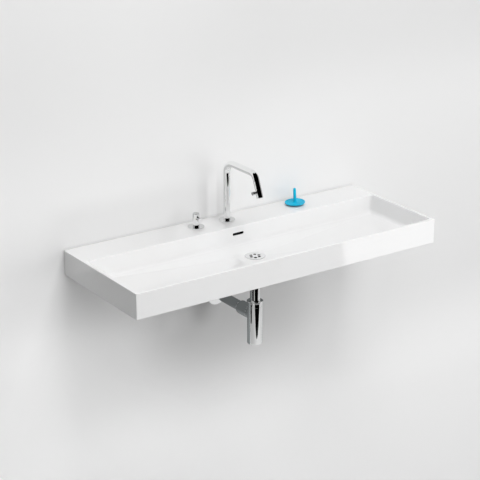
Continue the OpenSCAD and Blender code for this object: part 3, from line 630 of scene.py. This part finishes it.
# %% Plans and how they grow
class Plan:
    """A Geometry Nodes tree under construction."""

    def __init__(self, name, *sizes):
        self.tree = bpy.data.node_groups.new(name, "GeometryNodeTree")
        face = self.tree.interface
        face.new_socket("Geometry", in_out="INPUT", socket_type="NodeSocketGeometry")
        for size in sizes:
            face.new_socket(size, in_out="INPUT", socket_type="NodeSocketFloat")
        face.new_socket("Geometry", in_out="OUTPUT", socket_type="NodeSocketGeometry")
        self.start = self.tree.nodes.new("NodeGroupInput").outputs

    def add(self, kind, sockets=None, out=0, **settings):
        """A node, whose kind is a Geometry Nodes one if it isn't given in full."""
        kind = kind if "Node" in kind else "GeometryNode" + kind
        return wired(self.tree, kind, sockets or {}, settings).outputs[out]

    def math(self, operation, first, second):
        return self.add("ShaderNodeMath", {0: first, 1: second}, operation=operation)

    def swept(self, curve, sides, radius):
        """A bar with that many sides along a curve."""
        ring = self.add("CurvePrimitiveCircle", {"Resolution": sides, "Radius": radius})
        return self.add("CurveToMesh", {
            "Curve": curve, "Profile Curve": ring, "Fill Caps": True})

    def close(self, geometry, paint):
        real = self.add("RealizeInstances", {"Geometry": geometry})
        done = self.add("SetMaterial", {"Geometry": real, "Material": paint})
        wired(self.tree, "NodeGroupOutput", {0: done}, {})


def grown(piece, plan, sizes):
    """The piece after a plan has run on it, as a plain mesh."""
    run = piece.modifiers.new("plan", "NODES")
    run.node_group = plan.tree
    for item in plan.tree.interface.items_tree:
        if item.in_out == "INPUT" and item.name in sizes:
            run[item.identifier] = float(sizes[item.name])
    return frozen(piece)


def path_of(name, points):
    """A bare polyline through points in millimetres, for a plan to work on."""
    mesh = bpy.data.meshes.new(name)
    edges = [(i, i + 1) for i in range(len(points) - 1)]
    mesh.from_pydata([Vector(point) * MM for point in points], edges, [])
    return linked(name, mesh)


print("plans ready")

# %% [markdown]
# ## The spout
# The spout is one tube, bent twice on a tube bender. Its shape is a rule: a path of four
# points, a radius at each of the two corners, and a round section. So the plan fillets the
# path and sweeps a circle along it. It runs twice, at the outer and the inner size, and
# the inner tube is cut from the outer one, which leaves the true wall at the open ends.

# %% Bend the tube
TUBE, BORE, TUBE_Z, KNOB_ALONG, STEM_HOLE = 10.5, 9.0, 38.3, 57, 3.1
ARM_Z, CROSS_Y, BEND_1, BEND_2, TURN, OUTLET = 230.5, -212.5, 36, 25, 68, 74.4
down = Vector((0, -math.cos(math.radians(TURN)), -math.sin(math.radians(TURN))))
crossing = Vector((0, CROSS_Y, ARM_Z))

bender = Plan("tube_bender", "Tube radius", "First bend", "Second bend")
corner = bender.add("InputIndex")
more = bender.math("SUBTRACT", bender.start["Second bend"], bender.start["First bend"])
radius = bender.math("ADD", bender.start["First bend"],
                     bender.math("MULTIPLY", bender.math("SUBTRACT", corner, 1.0), more))
path = bender.add("MeshToCurve", {"Mesh": bender.start["Geometry"]})
path = bender.add("FilletCurve", {"Curve": path, "Count": 28, "Radius": radius}, mode="POLY")
bender.close(bender.swept(path, 72, bender.start["Tube radius"]), chrome)


def bent(name, radius, extra):
    """The spout's path swept at one radius, made longer by extra at both ends."""
    points = [(0, TAP_Y, TUBE_Z - extra), (0, TAP_Y, ARM_Z), crossing,
              crossing + down * (OUTLET + extra)]
    made = grown(path_of(name, points), bender, {
        "Tube radius": radius * MM, "First bend": BEND_1 * MM, "Second bend": BEND_2 * MM})
    shape = bmesh.new()
    shape.from_mesh(made.data)
    bpy.data.objects.remove(made)
    return made_from(name, shape)


spout = bent("spout_pipe", TUBE, 0)
knob_at = crossing + down * KNOB_ALONG
carved(spout, bent("spout_bore", BORE, 3), rod("stem_hole", STEM_HOLE, 14, knob_at, TO_LEFT))
soften = spout.modifiers.new("soften", "BEVEL")
soften.width, soften.segments, soften.limit_method = 0.25 * MM, 2, "ANGLE"
soften.angle_limit = math.radians(60)
frozen(spout)
settled(spout, "spout", stands_for="spout_tube", sharp=40)

# %% [markdown]
# ## The aerator
# The aerator is a ring screwed into the outlet, with a fine mesh that breaks up the jet.
# The mesh is a grid whose crossings outside the ring are deleted; its edges become wires.

# %% Ring and mesh
net = Plan("wire_net", "Across", "Spacing count", "Wire")
grid = net.add("MeshGrid", {
    "Size X": net.start["Across"], "Size Y": net.start["Across"],
    "Vertices X": net.start["Spacing count"], "Vertices Y": net.start["Spacing count"]})
place = net.add("InputPosition")
far = net.add("ShaderNodeVectorMath", {0: place}, 1, operation="LENGTH")
rim = net.math("MULTIPLY", net.start["Across"], 0.5)
beyond = net.add("FunctionNodeCompare", {0: far, 1: rim}, operation="GREATER_THAN")
grid = net.add("DeleteGeometry", {"Geometry": grid, "Selection": beyond})
wires = net.add("MeshToCurve", {"Mesh": grid})
net.close(net.swept(wires, 6, net.start["Wire"]), chrome)

RING_END = OUTLET - 1.5
fitted("aerator_ring", "aerator", [(6.9, 0), (8.9, 0), (8.9, 5, 0.4), (6.9, 5, 0.4)],
       crossing + down * (RING_END - 5), down, 96, "spout")
NET, WIRES, WIRE = 14.2, 15, 0.16
mesh_piece = grown(path_of("aerator_mesh", []), net, {
    "Across": NET * MM, "Spacing count": WIRES, "Wire": WIRE * MM})
turn = down.to_track_quat("Z", "Y").to_matrix().to_4x4()
mesh_piece.data.transform(Matrix.Translation((crossing + down * (RING_END - 3)) * MM) @ turn)
settled(mesh_piece, "spout")

# %% [markdown]
# ## The outlet's knob
# A small T-shaped knob on the outlet's left side opens the water. A screwed bush seals its
# stem. Both are turned pieces that lie on their side, along -X.

# %% Bush and knob
STEM_BORE = 2.06
bush = turned("outlet_bush", [(STEM_BORE, 8), (3, 8), (3, 9), (5.2, 8.6), (5.2, 12.5, 0.5),
                              (STEM_BORE, 12.5, 0.2)], knob_at, TO_LEFT, 64)
carved(bush, rod("room_for_tube", TUBE + 0.06, 60, knob_at - down * 30, down, 96))
carved(bush, rod("bush_foot", 2.9, 3.5, knob_at + Vector((-8, 0, 0)), TO_LEFT), how="UNION")
carved(bush, rod("bush_bore", STEM_BORE, 10, knob_at + Vector((-5, 0, 0)), TO_LEFT, 48))
settled(bush, "spout", stands_for="outlet_bonnet")

fitted("outlet_grip", "outlet_knob", [
    (0, 1.5), (2, 1.5), (2, 12.7), (4.4, 12.7, 0.3), (4.4, 16, 0.7), (6.3, 16.4, 0.9),
    (6.3, 24.5, 0.7), (5.4, 24.5, 0.3), (5.1, 24.2, 0.3), (0, 24.2)],
    knob_at, TO_LEFT, 72, "outlet_knob")

# %% [markdown]
# ## Cover plates, valve column and valve knob
# The two round covers hide the tap holes. The valve's column is a bored bar with a soft
# crown, and its knob is a round cap whose skirt hides the quarter-turn head.

# %% Turn them
COVER_TOP = 41.0
for name, x, node in (("spout_cover_plate", 0, "spout_cover"),
                      ("valve_cover_plate", VALVE_X, "valve_cover")):
    fitted(name, node, [
        (13.1, 27), (17, 27, 0.3), (17, 36.5), (22, 36.5), (22, 35.02), (26, 35.02, 0.15),
        (26, COVER_TOP, 0.8), (TUBE + 0.12, COVER_TOP, 0.2), (TUBE + 0.12, 37.5), (9.14, 37.5),
        (9.14, 36), (13.1, 36)], (x, TAP_Y, 0))
COLUMN_TOP, KNOB_Z, WAY_X, WAY_R = 84, 66.5, 4.6, 2.5
column = turned("valve_column", [(0, 37.52), (TUBE, 37.52, 0.2), (TUBE, COLUMN_TOP, 1.8),
                                 (0, COLUMN_TOP)], (VALVE_X, TAP_Y, 0), around=128)
carved(
    column,
    rod("socket", BORE, 11.7, (VALVE_X, TAP_Y, 37), around=72),
    rod("left_way", WAY_R, 20, (VALVE_X - WAY_X, TAP_Y, 46), around=32),
    rod("right_way", WAY_R, 20, (VALVE_X + WAY_X, TAP_Y, 46), around=32),
    rod("chamber", 6.5, 21, (VALVE_X, TAP_Y + 7, KNOB_Z), TO_FRONT, 72),
    rod("grub_hole", 1.5, 14, (VALVE_X, TAP_Y, 43.25), TO_WALL, 32),
)
settled(column, stands_for="valve_body")
fitted("valve_grip", "valve_knob", [
    (0, 12.5), (3.1, 12.5), (3.1, 4), (6.7, 4), (6.7, 0), (7.5, 0, 0.3), (7.5, 13.5, 0.7),
    (0, 13.5)], (VALVE_X, TAP_Y - 10.7, KNOB_Z), TO_FRONT, 96, "valve_knob")

# %% [markdown]
# ## The waste
# The grate is a dished flange on a tail. Its drain holes repeat, so a plan places a drill
# on each point of a circle and takes all of them out of the plate at once.

# %% Drill the grate
drill = Plan("grate_drill", "Pitch radius", "Hole radius", "Holes", "Height")
marks = drill.add("MeshCircle", {
    "Vertices": drill.start["Holes"], "Radius": drill.start["Pitch radius"]})
bits = drill.add("MeshCylinder", {
    "Vertices": 48, "Radius": drill.start["Hole radius"], "Depth": 0.008})
bits = drill.add("InstanceOnPoints", {"Points": marks, "Instance": bits})
bits = drill.add("RealizeInstances", {"Geometry": bits})
spot = drill.add("ShaderNodeCombineXYZ", {"Y": WASTE_Y * MM, "Z": drill.start["Height"]})
bits = drill.add("Transform", {"Geometry": bits, "Translation": spot})
plate = drill.add("MeshBoolean", {
    "Mesh 1": drill.start["Geometry"], "Mesh 2": bits}, operation="DIFFERENCE")
drill.close(plate, chrome)

UNDER, HOLES, HOLE_R, PITCH_R = WASTE_Z - 1.5, 6, 5, 14.3
grate = turned("waste_plate", [
    (0, UNDER + 1.2), (17, UNDER + 0.8), (18, UNDER - 0.5), (18, -96.5), (21, -96.5, 0.4),
    (21, UNDER), (32, UNDER, 0.2), (32, UNDER + 2.5, 1.2), (28.6, UNDER + 2.5, 1.4),
    (18.5, UNDER + 1.5, 6), (0, UNDER + 1.9)], (0, WASTE_Y, 0), around=128)
for along in ((1, 0, 0), TO_WALL):
    carved(grate, turned("side_slot", [(0, -23), (5, -23), (5, 23), (0, 23)],
                         (0, WASTE_Y, -52), along, 48))
grown(grate, drill, {"Pitch radius": PITCH_R * MM, "Hole radius": HOLE_R * MM,
                     "Holes": HOLES, "Height": UNDER * MM})
settled(grate, stands_for="waste_grate", paint=waste_chrome)

# %% [markdown]
# ## The bottle trap
# The trap hangs under the basin: a pipe dips into a chrome body, whose cup unscrews for
# cleaning, and a second pipe leads to the wall. All of it is turned work. Only the body
# needs more, because its branch leaves sideways: two turned solids are joined, then bored.

# %% Pipes, nuts, body and cup
PIPE, PIPE_BORE, PIPE_ROOM, BOTTLE, OUT_Z = 16, 14.5, 16.2, 24.5, -231.5
low, branch_at = (0, WASTE_Y, 0), (0, WASTE_Y, OUT_Z)
fitted("tail_union_nut", "tail_nut", [
    (PIPE_ROOM, -105.5, 0.3), (23, -105.5, 1), (25, -103.5, 1), (25, -84.5, 0.8),
    (21.1, -84.5, 0.3), (21.1, -100.5), (PIPE_ROOM, -100.5)], low)
fitted("dip_pipe", "inlet_pipe", [
    (PIPE_BORE, -296), (PIPE, -296, 0.3), (PIPE, -100.5), (20.5, -100.5), (20.5, -98.5),
    (PIPE_BORE, -98.5)], low)
fitted("flared_collar", "collar_nut", [
    (21.1, -200.8), (BOTTLE, -200.8, 0.2), (BOTTLE, -188.2, 0.8), (26, -187.2, 0.4),
    (26, -184.2, 0.5), (25, -183.6, 0.4), (PIPE_ROOM, -183.2, 0.2), (PIPE_ROOM, -184),
    (21.1, -184)], low)
body = turned("trap_shell", [(0, -265), (BOTTLE, -265, 0.1), (BOTTLE, -201, 0.2), (21, -201),
                             (21, -188, 0.3), (0, -188)], low, around=128)
carved(body, rod("branch", 19.5, 69.7, branch_at, TO_WALL, 96), how="UNION")
carved(body, rod("shoulder", 21.7, 24.4, branch_at, TO_WALL, 96), how="UNION")
carved(body, rod("body_bore", 22, 62, (0, WASTE_Y, -266), around=96),
       rod("neck_bore", 16.5, 20, (0, WASTE_Y, -207), around=96),
       rod("branch_bore", PIPE_ROOM, 71, branch_at, TO_WALL, 96))
settled(body, stands_for="trap_body")
fitted("trap_bottle", "trap_cup", [
    (0, -328), (BOTTLE, -328, 4.5), (BOTTLE, -265.04, 0.1), (21.9, -265.04), (21.9, -260),
    (20.7, -260), (20.7, -258), (21.9, -258), (21.9, -253, 0.4), (19.9, -253), (19.9, -269),
    (21.5, -271), (21.5, -325.5, 3), (0, -325.5)], low)

# %% The pipe to the wall
fitted("outlet_union_nut", "outlet_nut", [
    (19.6, 0), (22, 0, 0.4), (22, 48.5, 3), (20.9, 51.5, 2), (18.5, 54, 0.6),
    (PIPE_ROOM, 54, 0.2), (PIPE_ROOM, 49), (19.6, 49)], (0, -190.3, OUT_Z), TO_WALL)
fitted("waste_pipe", "wall_pipe", [
    (PIPE_BORE, -175.3), (PIPE, -175.3, 0.3), (PIPE, 0, 0.1), (15.6, 0.2, 0.1),
    (15.6, 1.3, 0.1), (PIPE, 1.5, 0.1), (PIPE, 30, 0.3), (PIPE_BORE, 30)],
    (0, 0, OUT_Z), TO_WALL)
FLANGE = 39.5
dome = [(FLANGE - (FLANGE - 18.5) * math.sin(a) ** 2, 1.2 + 6 * math.sin(a))
        for a in (math.radians(9 * i) for i in range(1, 10))]
fitted("wall_flange", "wall_rosette", [
    (FLANGE - 4, 0), (FLANGE, 0, 0.2), (FLANGE, 1.2, 0.4)] + dome + [
    (18.5, 7.2, 1), (18.5, 9, 0.5), (PIPE_ROOM, 9, 0.2), (PIPE_ROOM, 7.2), (17.5, 7.2)],
    (0, -0.02, OUT_Z), TO_FRONT)

# %% [markdown]
# ## Under the ledge
# Each tap is pulled down by a brass nut on a threaded shank. The nuts are six-sided bars
# with their corners turned off: a lathe shape cut by a six-sided one. The thread is a
# rule, so a plan sweeps a small diamond along a spiral round the shank's core.


# %% Hexagon nuts
def hexagon_nut(name, flats, bore, z0, z1, x, y, node):
    """A nut of that width over its flats, with its corners turned off at both ends."""
    tip = flats / 2 / math.cos(math.radians(30))
    chamfer = tip - flats / 2 * 0.98
    piece = turned(name, [
        (bore, z0, 0.4), (tip - chamfer, z0), (tip + 0.1, z0 + chamfer * 0.55),
        (tip + 0.1, z1 - chamfer * 0.55), (tip - chamfer, z1), (bore, z1, 0.4)], (x, y, 0))
    shape = bmesh.new()
    bmesh.ops.create_cone(shape, cap_ends=True, segments=6, radius1=tip * MM,
                          radius2=tip * MM, depth=(z1 - z0 + 4) * MM,
                          matrix=Matrix.Translation(Vector((x, y, (z0 + z1) / 2)) * MM))
    carved(piece, made_from("six_sides", shape), how="INTERSECT")
    return settled(piece, slot="brass", stands_for=node, sharp=20)


hexagon_nut("spout_fixing_nut", 34, 13.1, 10, 18, 0, TAP_Y, "spout_back_nut")
hexagon_nut("valve_fixing_nut", 34, 13.1, 10, 18, VALVE_X, TAP_Y, "valve_back_nut")
hexagon_nut("waste_fixing_nut", 55, 21.1, -81.5, -72.5, 0, WASTE_Y, "waste_back_nut")

# %% Threaded shanks
thread = Plan("screw_thread", "Radius", "Length", "Turns", "Ridge")
core = thread.start["Radius"]
spiral = thread.add("CurveSpiral", {
    "Resolution": 48, "Rotations": thread.start["Turns"], "Start Radius": core,
    "End Radius": core, "Height": thread.start["Length"]})
spiral = thread.add("SetCurveNormal", {"Curve": spiral}, mode="Z_UP")
thread.close(thread.swept(spiral, 4, thread.start["Ridge"]), paints["brass"])


STUD, PITCH, RIDGE, THREAD_LOW, THREAD_HIGH = 12.2, 1.8, 0.75, -13.5, 26


def threaded(name, x, body, node):
    """A shank with its thread."""
    length = THREAD_HIGH - THREAD_LOW
    piece = grown(path_of(name + "_thread", []), thread, {
        "Radius": STUD * MM, "Length": length * MM, "Turns": length / PITCH,
        "Ridge": RIDGE * MM})
    piece.data.transform(Matrix.Translation(Vector((x, TAP_Y, THREAD_LOW)) * MM))
    settled(piece, slot="brass", sharp=20)
    settled(body, slot="brass", stands_for=node)


spout_core = turned("spout_stud", [
    (5, -25), (8.35, -25, 0.4), (8.35, -15.5), (8.4, -15), (STUD, -15, 0.8), (12.3, 35.9),
    (8.94, 35.9), (8.94, 48.9), (7.74, 48.9), (7.74, 51.1), (8.94, 51.1), (8.94, 57.9),
    (7.74, 57.9), (7.74, 60.1), (8.94, 60.1), (8.94, 74, 0.5), (5, 74)], (0, TAP_Y, 0))
threaded("spout_stud", 0, spout_core, "spout_shank")
valve_core = turned("valve_stud", [
    (0, -15), (STUD, -15, 0.8), (12.3, 35.9), (8.94, 35.9), (8.94, 49, 0.5), (0, 49)],
    (VALVE_X, TAP_Y, 0))
for way in (-WAY_X, WAY_X):
    carved(valve_core, rod("way", WAY_R, 70, (VALVE_X + way, TAP_Y, -18), around=32))
    carved(valve_core, rod("hose_socket", 3.6, 13, (VALVE_X + way, TAP_Y, -16), around=32))
threaded("valve_stud", VALVE_X, valve_core, "valve_shank")

# %% [markdown]
# ## The stopper
# The stopper is moulded from one piece of silicone: a shallow dish with a thin raised
# lip, and a tapered stem that grows out of it in a soft fillet. It stands on its rounded
# belly, so it leans a little.

# %% Mould the stopper
BELLY, BELLY_EDGE, LEAN, STAND = 83.083, 31, 3, (267, -54, 35.2)
reach = math.asin(BELLY_EDGE / BELLY)
belly = [(BELLY * math.sin(reach * i / 12), BELLY * (1 - math.cos(reach * i / 12)))
         for i in range(13)]
stopper = turned("stopper_moulding", belly + [
    (33, 6.3, 1.0), (33, 8.9, 0.9), (30.6, 9.0, 0.9), (29.4, 7.7, 1.5), (11, 7.9, 3),
    (6.2, 8.6, 3.5), (5.2, 13.5, 6), (4.6, 50.5), (4.46, 53.6, 2.4), (2.2, 56, 1.6), (0, 56)],
    around=128)
centre = Vector((0, 0, BELLY))
stand = (Matrix.Translation((Vector(STAND) + centre) * MM)
         @ Matrix.Rotation(math.radians(-LEAN), 4, "Y") @ Matrix.Translation(-centre * MM))
stopper.data.transform(stand)
settled(stopper, "stopper", "silicone", "stopper", sharp=50)

# %% [markdown]
# ## The stage
# A white wall takes the basin's soft shadow, and a pale floor lies far below. The wall's paint
# holds painted light and shade: soft patches lighter or darker to even out the lamps, and
# painted shadows of the basin, the trap and the taps.
# Only the front sides show, so that the basin can also be looked at from behind, and the
# wall is open behind the basin's back, which would otherwise lie in the dark.


# %% Wall and floor
def board(name, corners, paint, faces=None):
    """A stage piece from its corners in metres, flat unless it is given its faces."""
    mesh = bpy.data.meshes.new(name)
    mesh.from_pydata(corners, [], faces or [tuple(range(len(corners)))])
    mesh.materials.append(paint)
    made = linked(name, mesh)
    return made


def stage_paint(name, shade, seen=0.0):
    """A matt paint, clear from its back side. seen makes it paler to the camera alone."""
    paint = bpy.data.materials.new(name)
    flow = emptied(paint)
    matt = flow.node("BsdfDiffuse", {"Color": shade(flow)})
    glow = flow.node("Emission", {"Strength": flow.node("LightPath") * seen})
    front = flow.node("AddShader", {0: matt, 1: glow})
    clear = flow.node("BsdfTransparent")
    behind = flow.node("NewGeometry", out=6)
    both = flow.node("MixShader", {0: behind, 1: front, 2: clear})
    flow.node("OutputMaterial", {"Surface": both})
    return paint


ALL = (-9, -8, 8, 9)
MIDDLE = (-0.47, -0.09, 0.15, 0.53)
LEDGE_HIGH = (-0.02, 0.04, 0.12, 0.2)
# Painted light and shade on the wall: lighter low down, darker high up and at the upper right
# to even out the lamps, a painted shadow under the basin's middle with lighter patches round
# it.
PAINTED_WALL_LIGHT = [
    (-0.16, ALL, (-0.75, -0.34, 8, 9)),
    (-0.04, ALL, (0.2, 0.7, 8, 9)),
    (-0.05, (-0.4, 0.2, 8, 9), (0.28, 0.58, 8, 9)),
    (-0.16, MIDDLE, (-0.6, -0.28, -0.05, 0.03)),
    (0.06, MIDDLE, (-0.95, -0.65, -0.6, -0.4)),
    (0.08, (-0.22, -0.16, -0.12, -0.06), (-0.36, -0.28, -0.2, -0.1)),
    (0.09, (-9, -8, -0.9, -0.2), (-0.8, -0.4, 0.1, 0.5)),
    (0.16, (-0.85, -0.55, -0.35, -0.05), (-0.9, -0.55, -0.35, -0.1)),
    (0.08, (0.26, 0.45, 0.55, 0.74), (-0.65, -0.4, -0.25, -0.1)),
    (-0.045, (0.2, 0.7, 8, 9), (-9, -8, -0.85, -0.5)),
    # Painted shadow line where the ledge meets the wall.
    (-0.06, (-0.56, -0.545, 0.545, 0.56), (0.031, 0.0355, 0.0385, 0.043)),
    # Painted shadows beside the taps, and a painted lighter band behind the spout.
    (-0.06, (-0.65, -0.5, -0.042, -0.024), LEDGE_HIGH),
    (-0.03, (-0.08, -0.06, -0.05, -0.035), LEDGE_HIGH),
    (0.11, (-0.042, -0.024, -0.004, 0.008), LEDGE_HIGH),
]


def wall_shade(flow):
    """Evens out the lamps with painted light and shade, and paints the basin's shadow under its
    middle and the trap's shadow.

    A row is how much lighter a patch of painted light is, or darker for painted shade, and its
    limits along the wall and up it.
    """
    side, height = flow.axis(0), flow.axis(2)
    # Painted shadow of the trap: a dark soft spot on the wall to its left.
    across, down = side + 0.05, height + 0.265
    painted_trap_shadow = 1.0 - (across * across + down * down * 0.6).math("SQRT").step(0.0, 0.075)
    shade = 0.965 - painted_trap_shadow * 0.13
    for amount, along, up in PAINTED_WALL_LIGHT:
        shade = shade + side.hill(*along) * height.hill(*up) * amount
    return shade


def standing(y, *outline):
    """Corners (x, z) of an upright card, in metres."""
    return [(x, y, z) for x, z in outline]


def lying(z, *outline):
    """Corners (x, y) of a level card, in metres."""
    return [(x, y, z) for x, y in outline]


HALF, TOP, GROUND, FRONT, BEHIND = 6.0, 4.0, -1.5, -8.0, 0.0006
outline = [(-HALF, GROUND), (HALF, GROUND), (HALF, TOP), (-HALF, TOP)]
opening = [(-0.548, -0.043), (0.548, -0.043), (0.548, 0.032), (-0.548, 0.032)]
board("wall", standing(BEHIND, *outline, *opening), stage_paint("wall_paint", wall_shade),
      [(i, (i + 1) % 4, (i + 1) % 4 + 4, i + 4) for i in range(4)])
board("floor", lying(GROUND, (-HALF, FRONT), (HALF, FRONT), (HALF, BEHIND), (-HALF, BEHIND)),
      stage_paint("floor_paint", lambda flow: grey(0.56), 0.5))
print("wall and floor set")

# %% [markdown]
# ## What the chrome sees
# Chrome has no colour of its own. In the photograph it mirrors a room: a dark space in
# front, a pale floor that is dark farther out and in one corner, a grey band above the
# ledge, a dim wall behind the trap, and something bright at the right. Cards stand for
# them. Only mirror-like rays see a card, so none shades the basin or shows to the camera.


# %% Cards
def card(name, corners, level=None, faces=None):
    """A board that only reflections can see, a painted reflection; level is its brightness,
    black if not given.
    """
    paint = bpy.data.materials.new(name)
    flow = emptied(paint)
    shade = level(flow) if level else grey(0.0)
    glow = flow.node("Emission", {"Color": shade})
    flow.node("OutputMaterial", {"Surface": glow})
    made = board(name, corners, paint, faces)
    made.visible_camera = made.visible_diffuse = made.visible_transmission = False
    made.visible_shadow = made.visible_volume_scatter = False
    return made


LOW, LOW_DARK, ON_WALL, OVER_WALL, WALL_FOOT = -0.86, -0.85, 0.0001, 0.0002, -0.002
card("floor_card", lying(LOW, (-6, -5), (6, -5), (6, WALL_FOOT), (-6, WALL_FOOT)),
     lambda flow: (0.44 + flow.axis(0).step(-1.6, 0.2) * 0.3
                   - flow.axis(0).step(0.9, 1.3) * 0.12))
card("dark_floor", lying(LOW_DARK, (-3.2, -4.5), (3.2, -4.5), (3.2, -1.6), (0.45, -1.51),
                         (0.1, -1.465), (-0.25, -1.42), (-0.6, -1.435), (-1.3, -1.47),
                         (-3.2, -2.0)))
card("dark_corner", lying(LOW_DARK, (-3.2, -1.85), (-1.40, -1.03), (-1.50, -0.77),
                          (-1.55, -0.50), (-1.38, -0.47), (-1.39, -0.31),
                          (-1.40, WALL_FOOT), (-3.2, WALL_FOOT)))
card("dark_skirting", standing(ON_WALL, (-3.2, LOW), (-1.2, -0.71), (-0.76, -0.64),
                               (-0.76, -0.3), (-3.2, -0.3)))
card("dark_left", standing(ON_WALL, (-6, 0.12), (-0.85, 0.12), (-0.85, 3.9), (-6, 3.9)))


def dim_wall(flow):
    """A painted reflection of the shaded wall behind the trap, cooler than the rest."""
    low = 1.0 - flow.axis(2).step(-0.40, -0.27)
    left = 1.0 - flow.axis(0).step(-0.4, -0.15)
    return flow.blend(0.12 + low * 0.1 + left * 0.08, (0, 0, 0, 1), (0.94, 1, 1.01, 1))


card("wall_card", standing(OVER_WALL, (-0.9, -0.7), (0.5, -0.7), (0.5, -0.05), (-0.9, -0.05)),
     dim_wall)


def grey_band(flow):
    """A painted reflection: a grey band on the wall, which draws the edges of the taps, and a
    darker spot low at its left.
    """
    side, height = flow.axis(0), flow.axis(2)
    band = 0.2 + height.step(0.085, 0.11) * 0.05 - height.step(0.19, 0.21) * 0.25
    spot = side.hill(-0.23, -0.2, -0.16, -0.145) * 0.36 * (1.0 - height.step(0.085, 0.1))
    return 0.8 - band * side.hill(-0.5, -0.25, 0.2, 0.45) - spot


card("band_card", standing(OVER_WALL, (-0.6, 0.037), (0.5, 0.037), (0.5, 0.22), (-0.6, 0.22)),
     grey_band)
CANOPY, ROWS, COLUMNS = 4.0, 10, 16
TILT_FROM, TILT_BY, FACE_FROM, FACE_BY = -2, 82, -179, 178
dome_points = []
for i in range(ROWS + 1):
    tilt = math.radians(TILT_FROM + TILT_BY * i / ROWS)
    dome_points += [polar(0, 0, CANOPY * math.cos(tilt), FACE_FROM + FACE_BY * j / COLUMNS,
                          CANOPY * math.sin(tilt)) for j in range(COLUMNS + 1)]
wide = COLUMNS + 1
patches = [(a, a + 1, a + 1 + wide, a + wide)
           for i in range(ROWS) for a in range(i * wide, i * wide + COLUMNS)]
card("dark_room", dome_points, lambda flow: flow.axis(0).step(2.6, 3.9) * 0.45, patches)
card("bright_card", [(1.306, -1.8175, -0.8), (2.9, -0.6, -0.8), (2.9, -0.6, -0.02),
                     (1.306, -1.8175, -0.02)], lambda flow: grey(2.9))
print("cards set")

# %% [markdown]
# ## The light
# Three large soft lamps stand in front: one high over the basin, one at the left and one
# low at the right. A fourth, behind the wall, lights the basin's back through the opening.
# A dim even sky fills the shadows; to the camera and to mirrors it is pale.


# %% Lamps and sky
def soft_lamp(name, place, aim, size, power):
    """A square area lamp that points at aim and isn't seen in reflections."""
    lamp = bpy.data.lights.new(name, "AREA")
    lamp.size, lamp.energy = size, power
    made = linked(name, lamp)
    made.location = place
    made.rotation_euler = (Vector(aim) - Vector(place)).to_track_quat("-Z", "Y").to_euler()
    made.visible_glossy = False


SKY, AIM = 0.06, (0, -0.2, 0)
LAMPS = {
    "high": ((0.2, -2.62, 4.33), 2.2, 116),
    "middle": ((-0.7, -3.7, 2.7), 3.4, 86.5),
    "front": ((2.4, -3.9, 0.4), 3.0, 69),
    "back": ((-1.8, 3.2, 1.6), 3.0, 90),
}
for name, (place, size, power) in LAMPS.items():
    soft_lamp(name + "_lamp", place, AIM, size, power)
world = bpy.data.worlds.new("sky")
bpy.context.scene.world = world
sky = emptied(world)
camera_ray, glossy_ray, through_ray = [
    sky.node("LightPath", out=index) for index in (0, 3, 6)]
seen = sky.math("MINIMUM", camera_ray + glossy_ray + through_ray, 1.0)
dim = sky.node("Background", {"Color": grey(1.0), "Strength": SKY})
pale = sky.node("Background", {"Color": grey(0.88), "Strength": 1.0})
both = sky.node("MixShader", {0: seen, 1: dim, 2: pale})
sky.node("OutputWorld", {"Surface": both})
print("lamps set:", len(LAMPS))
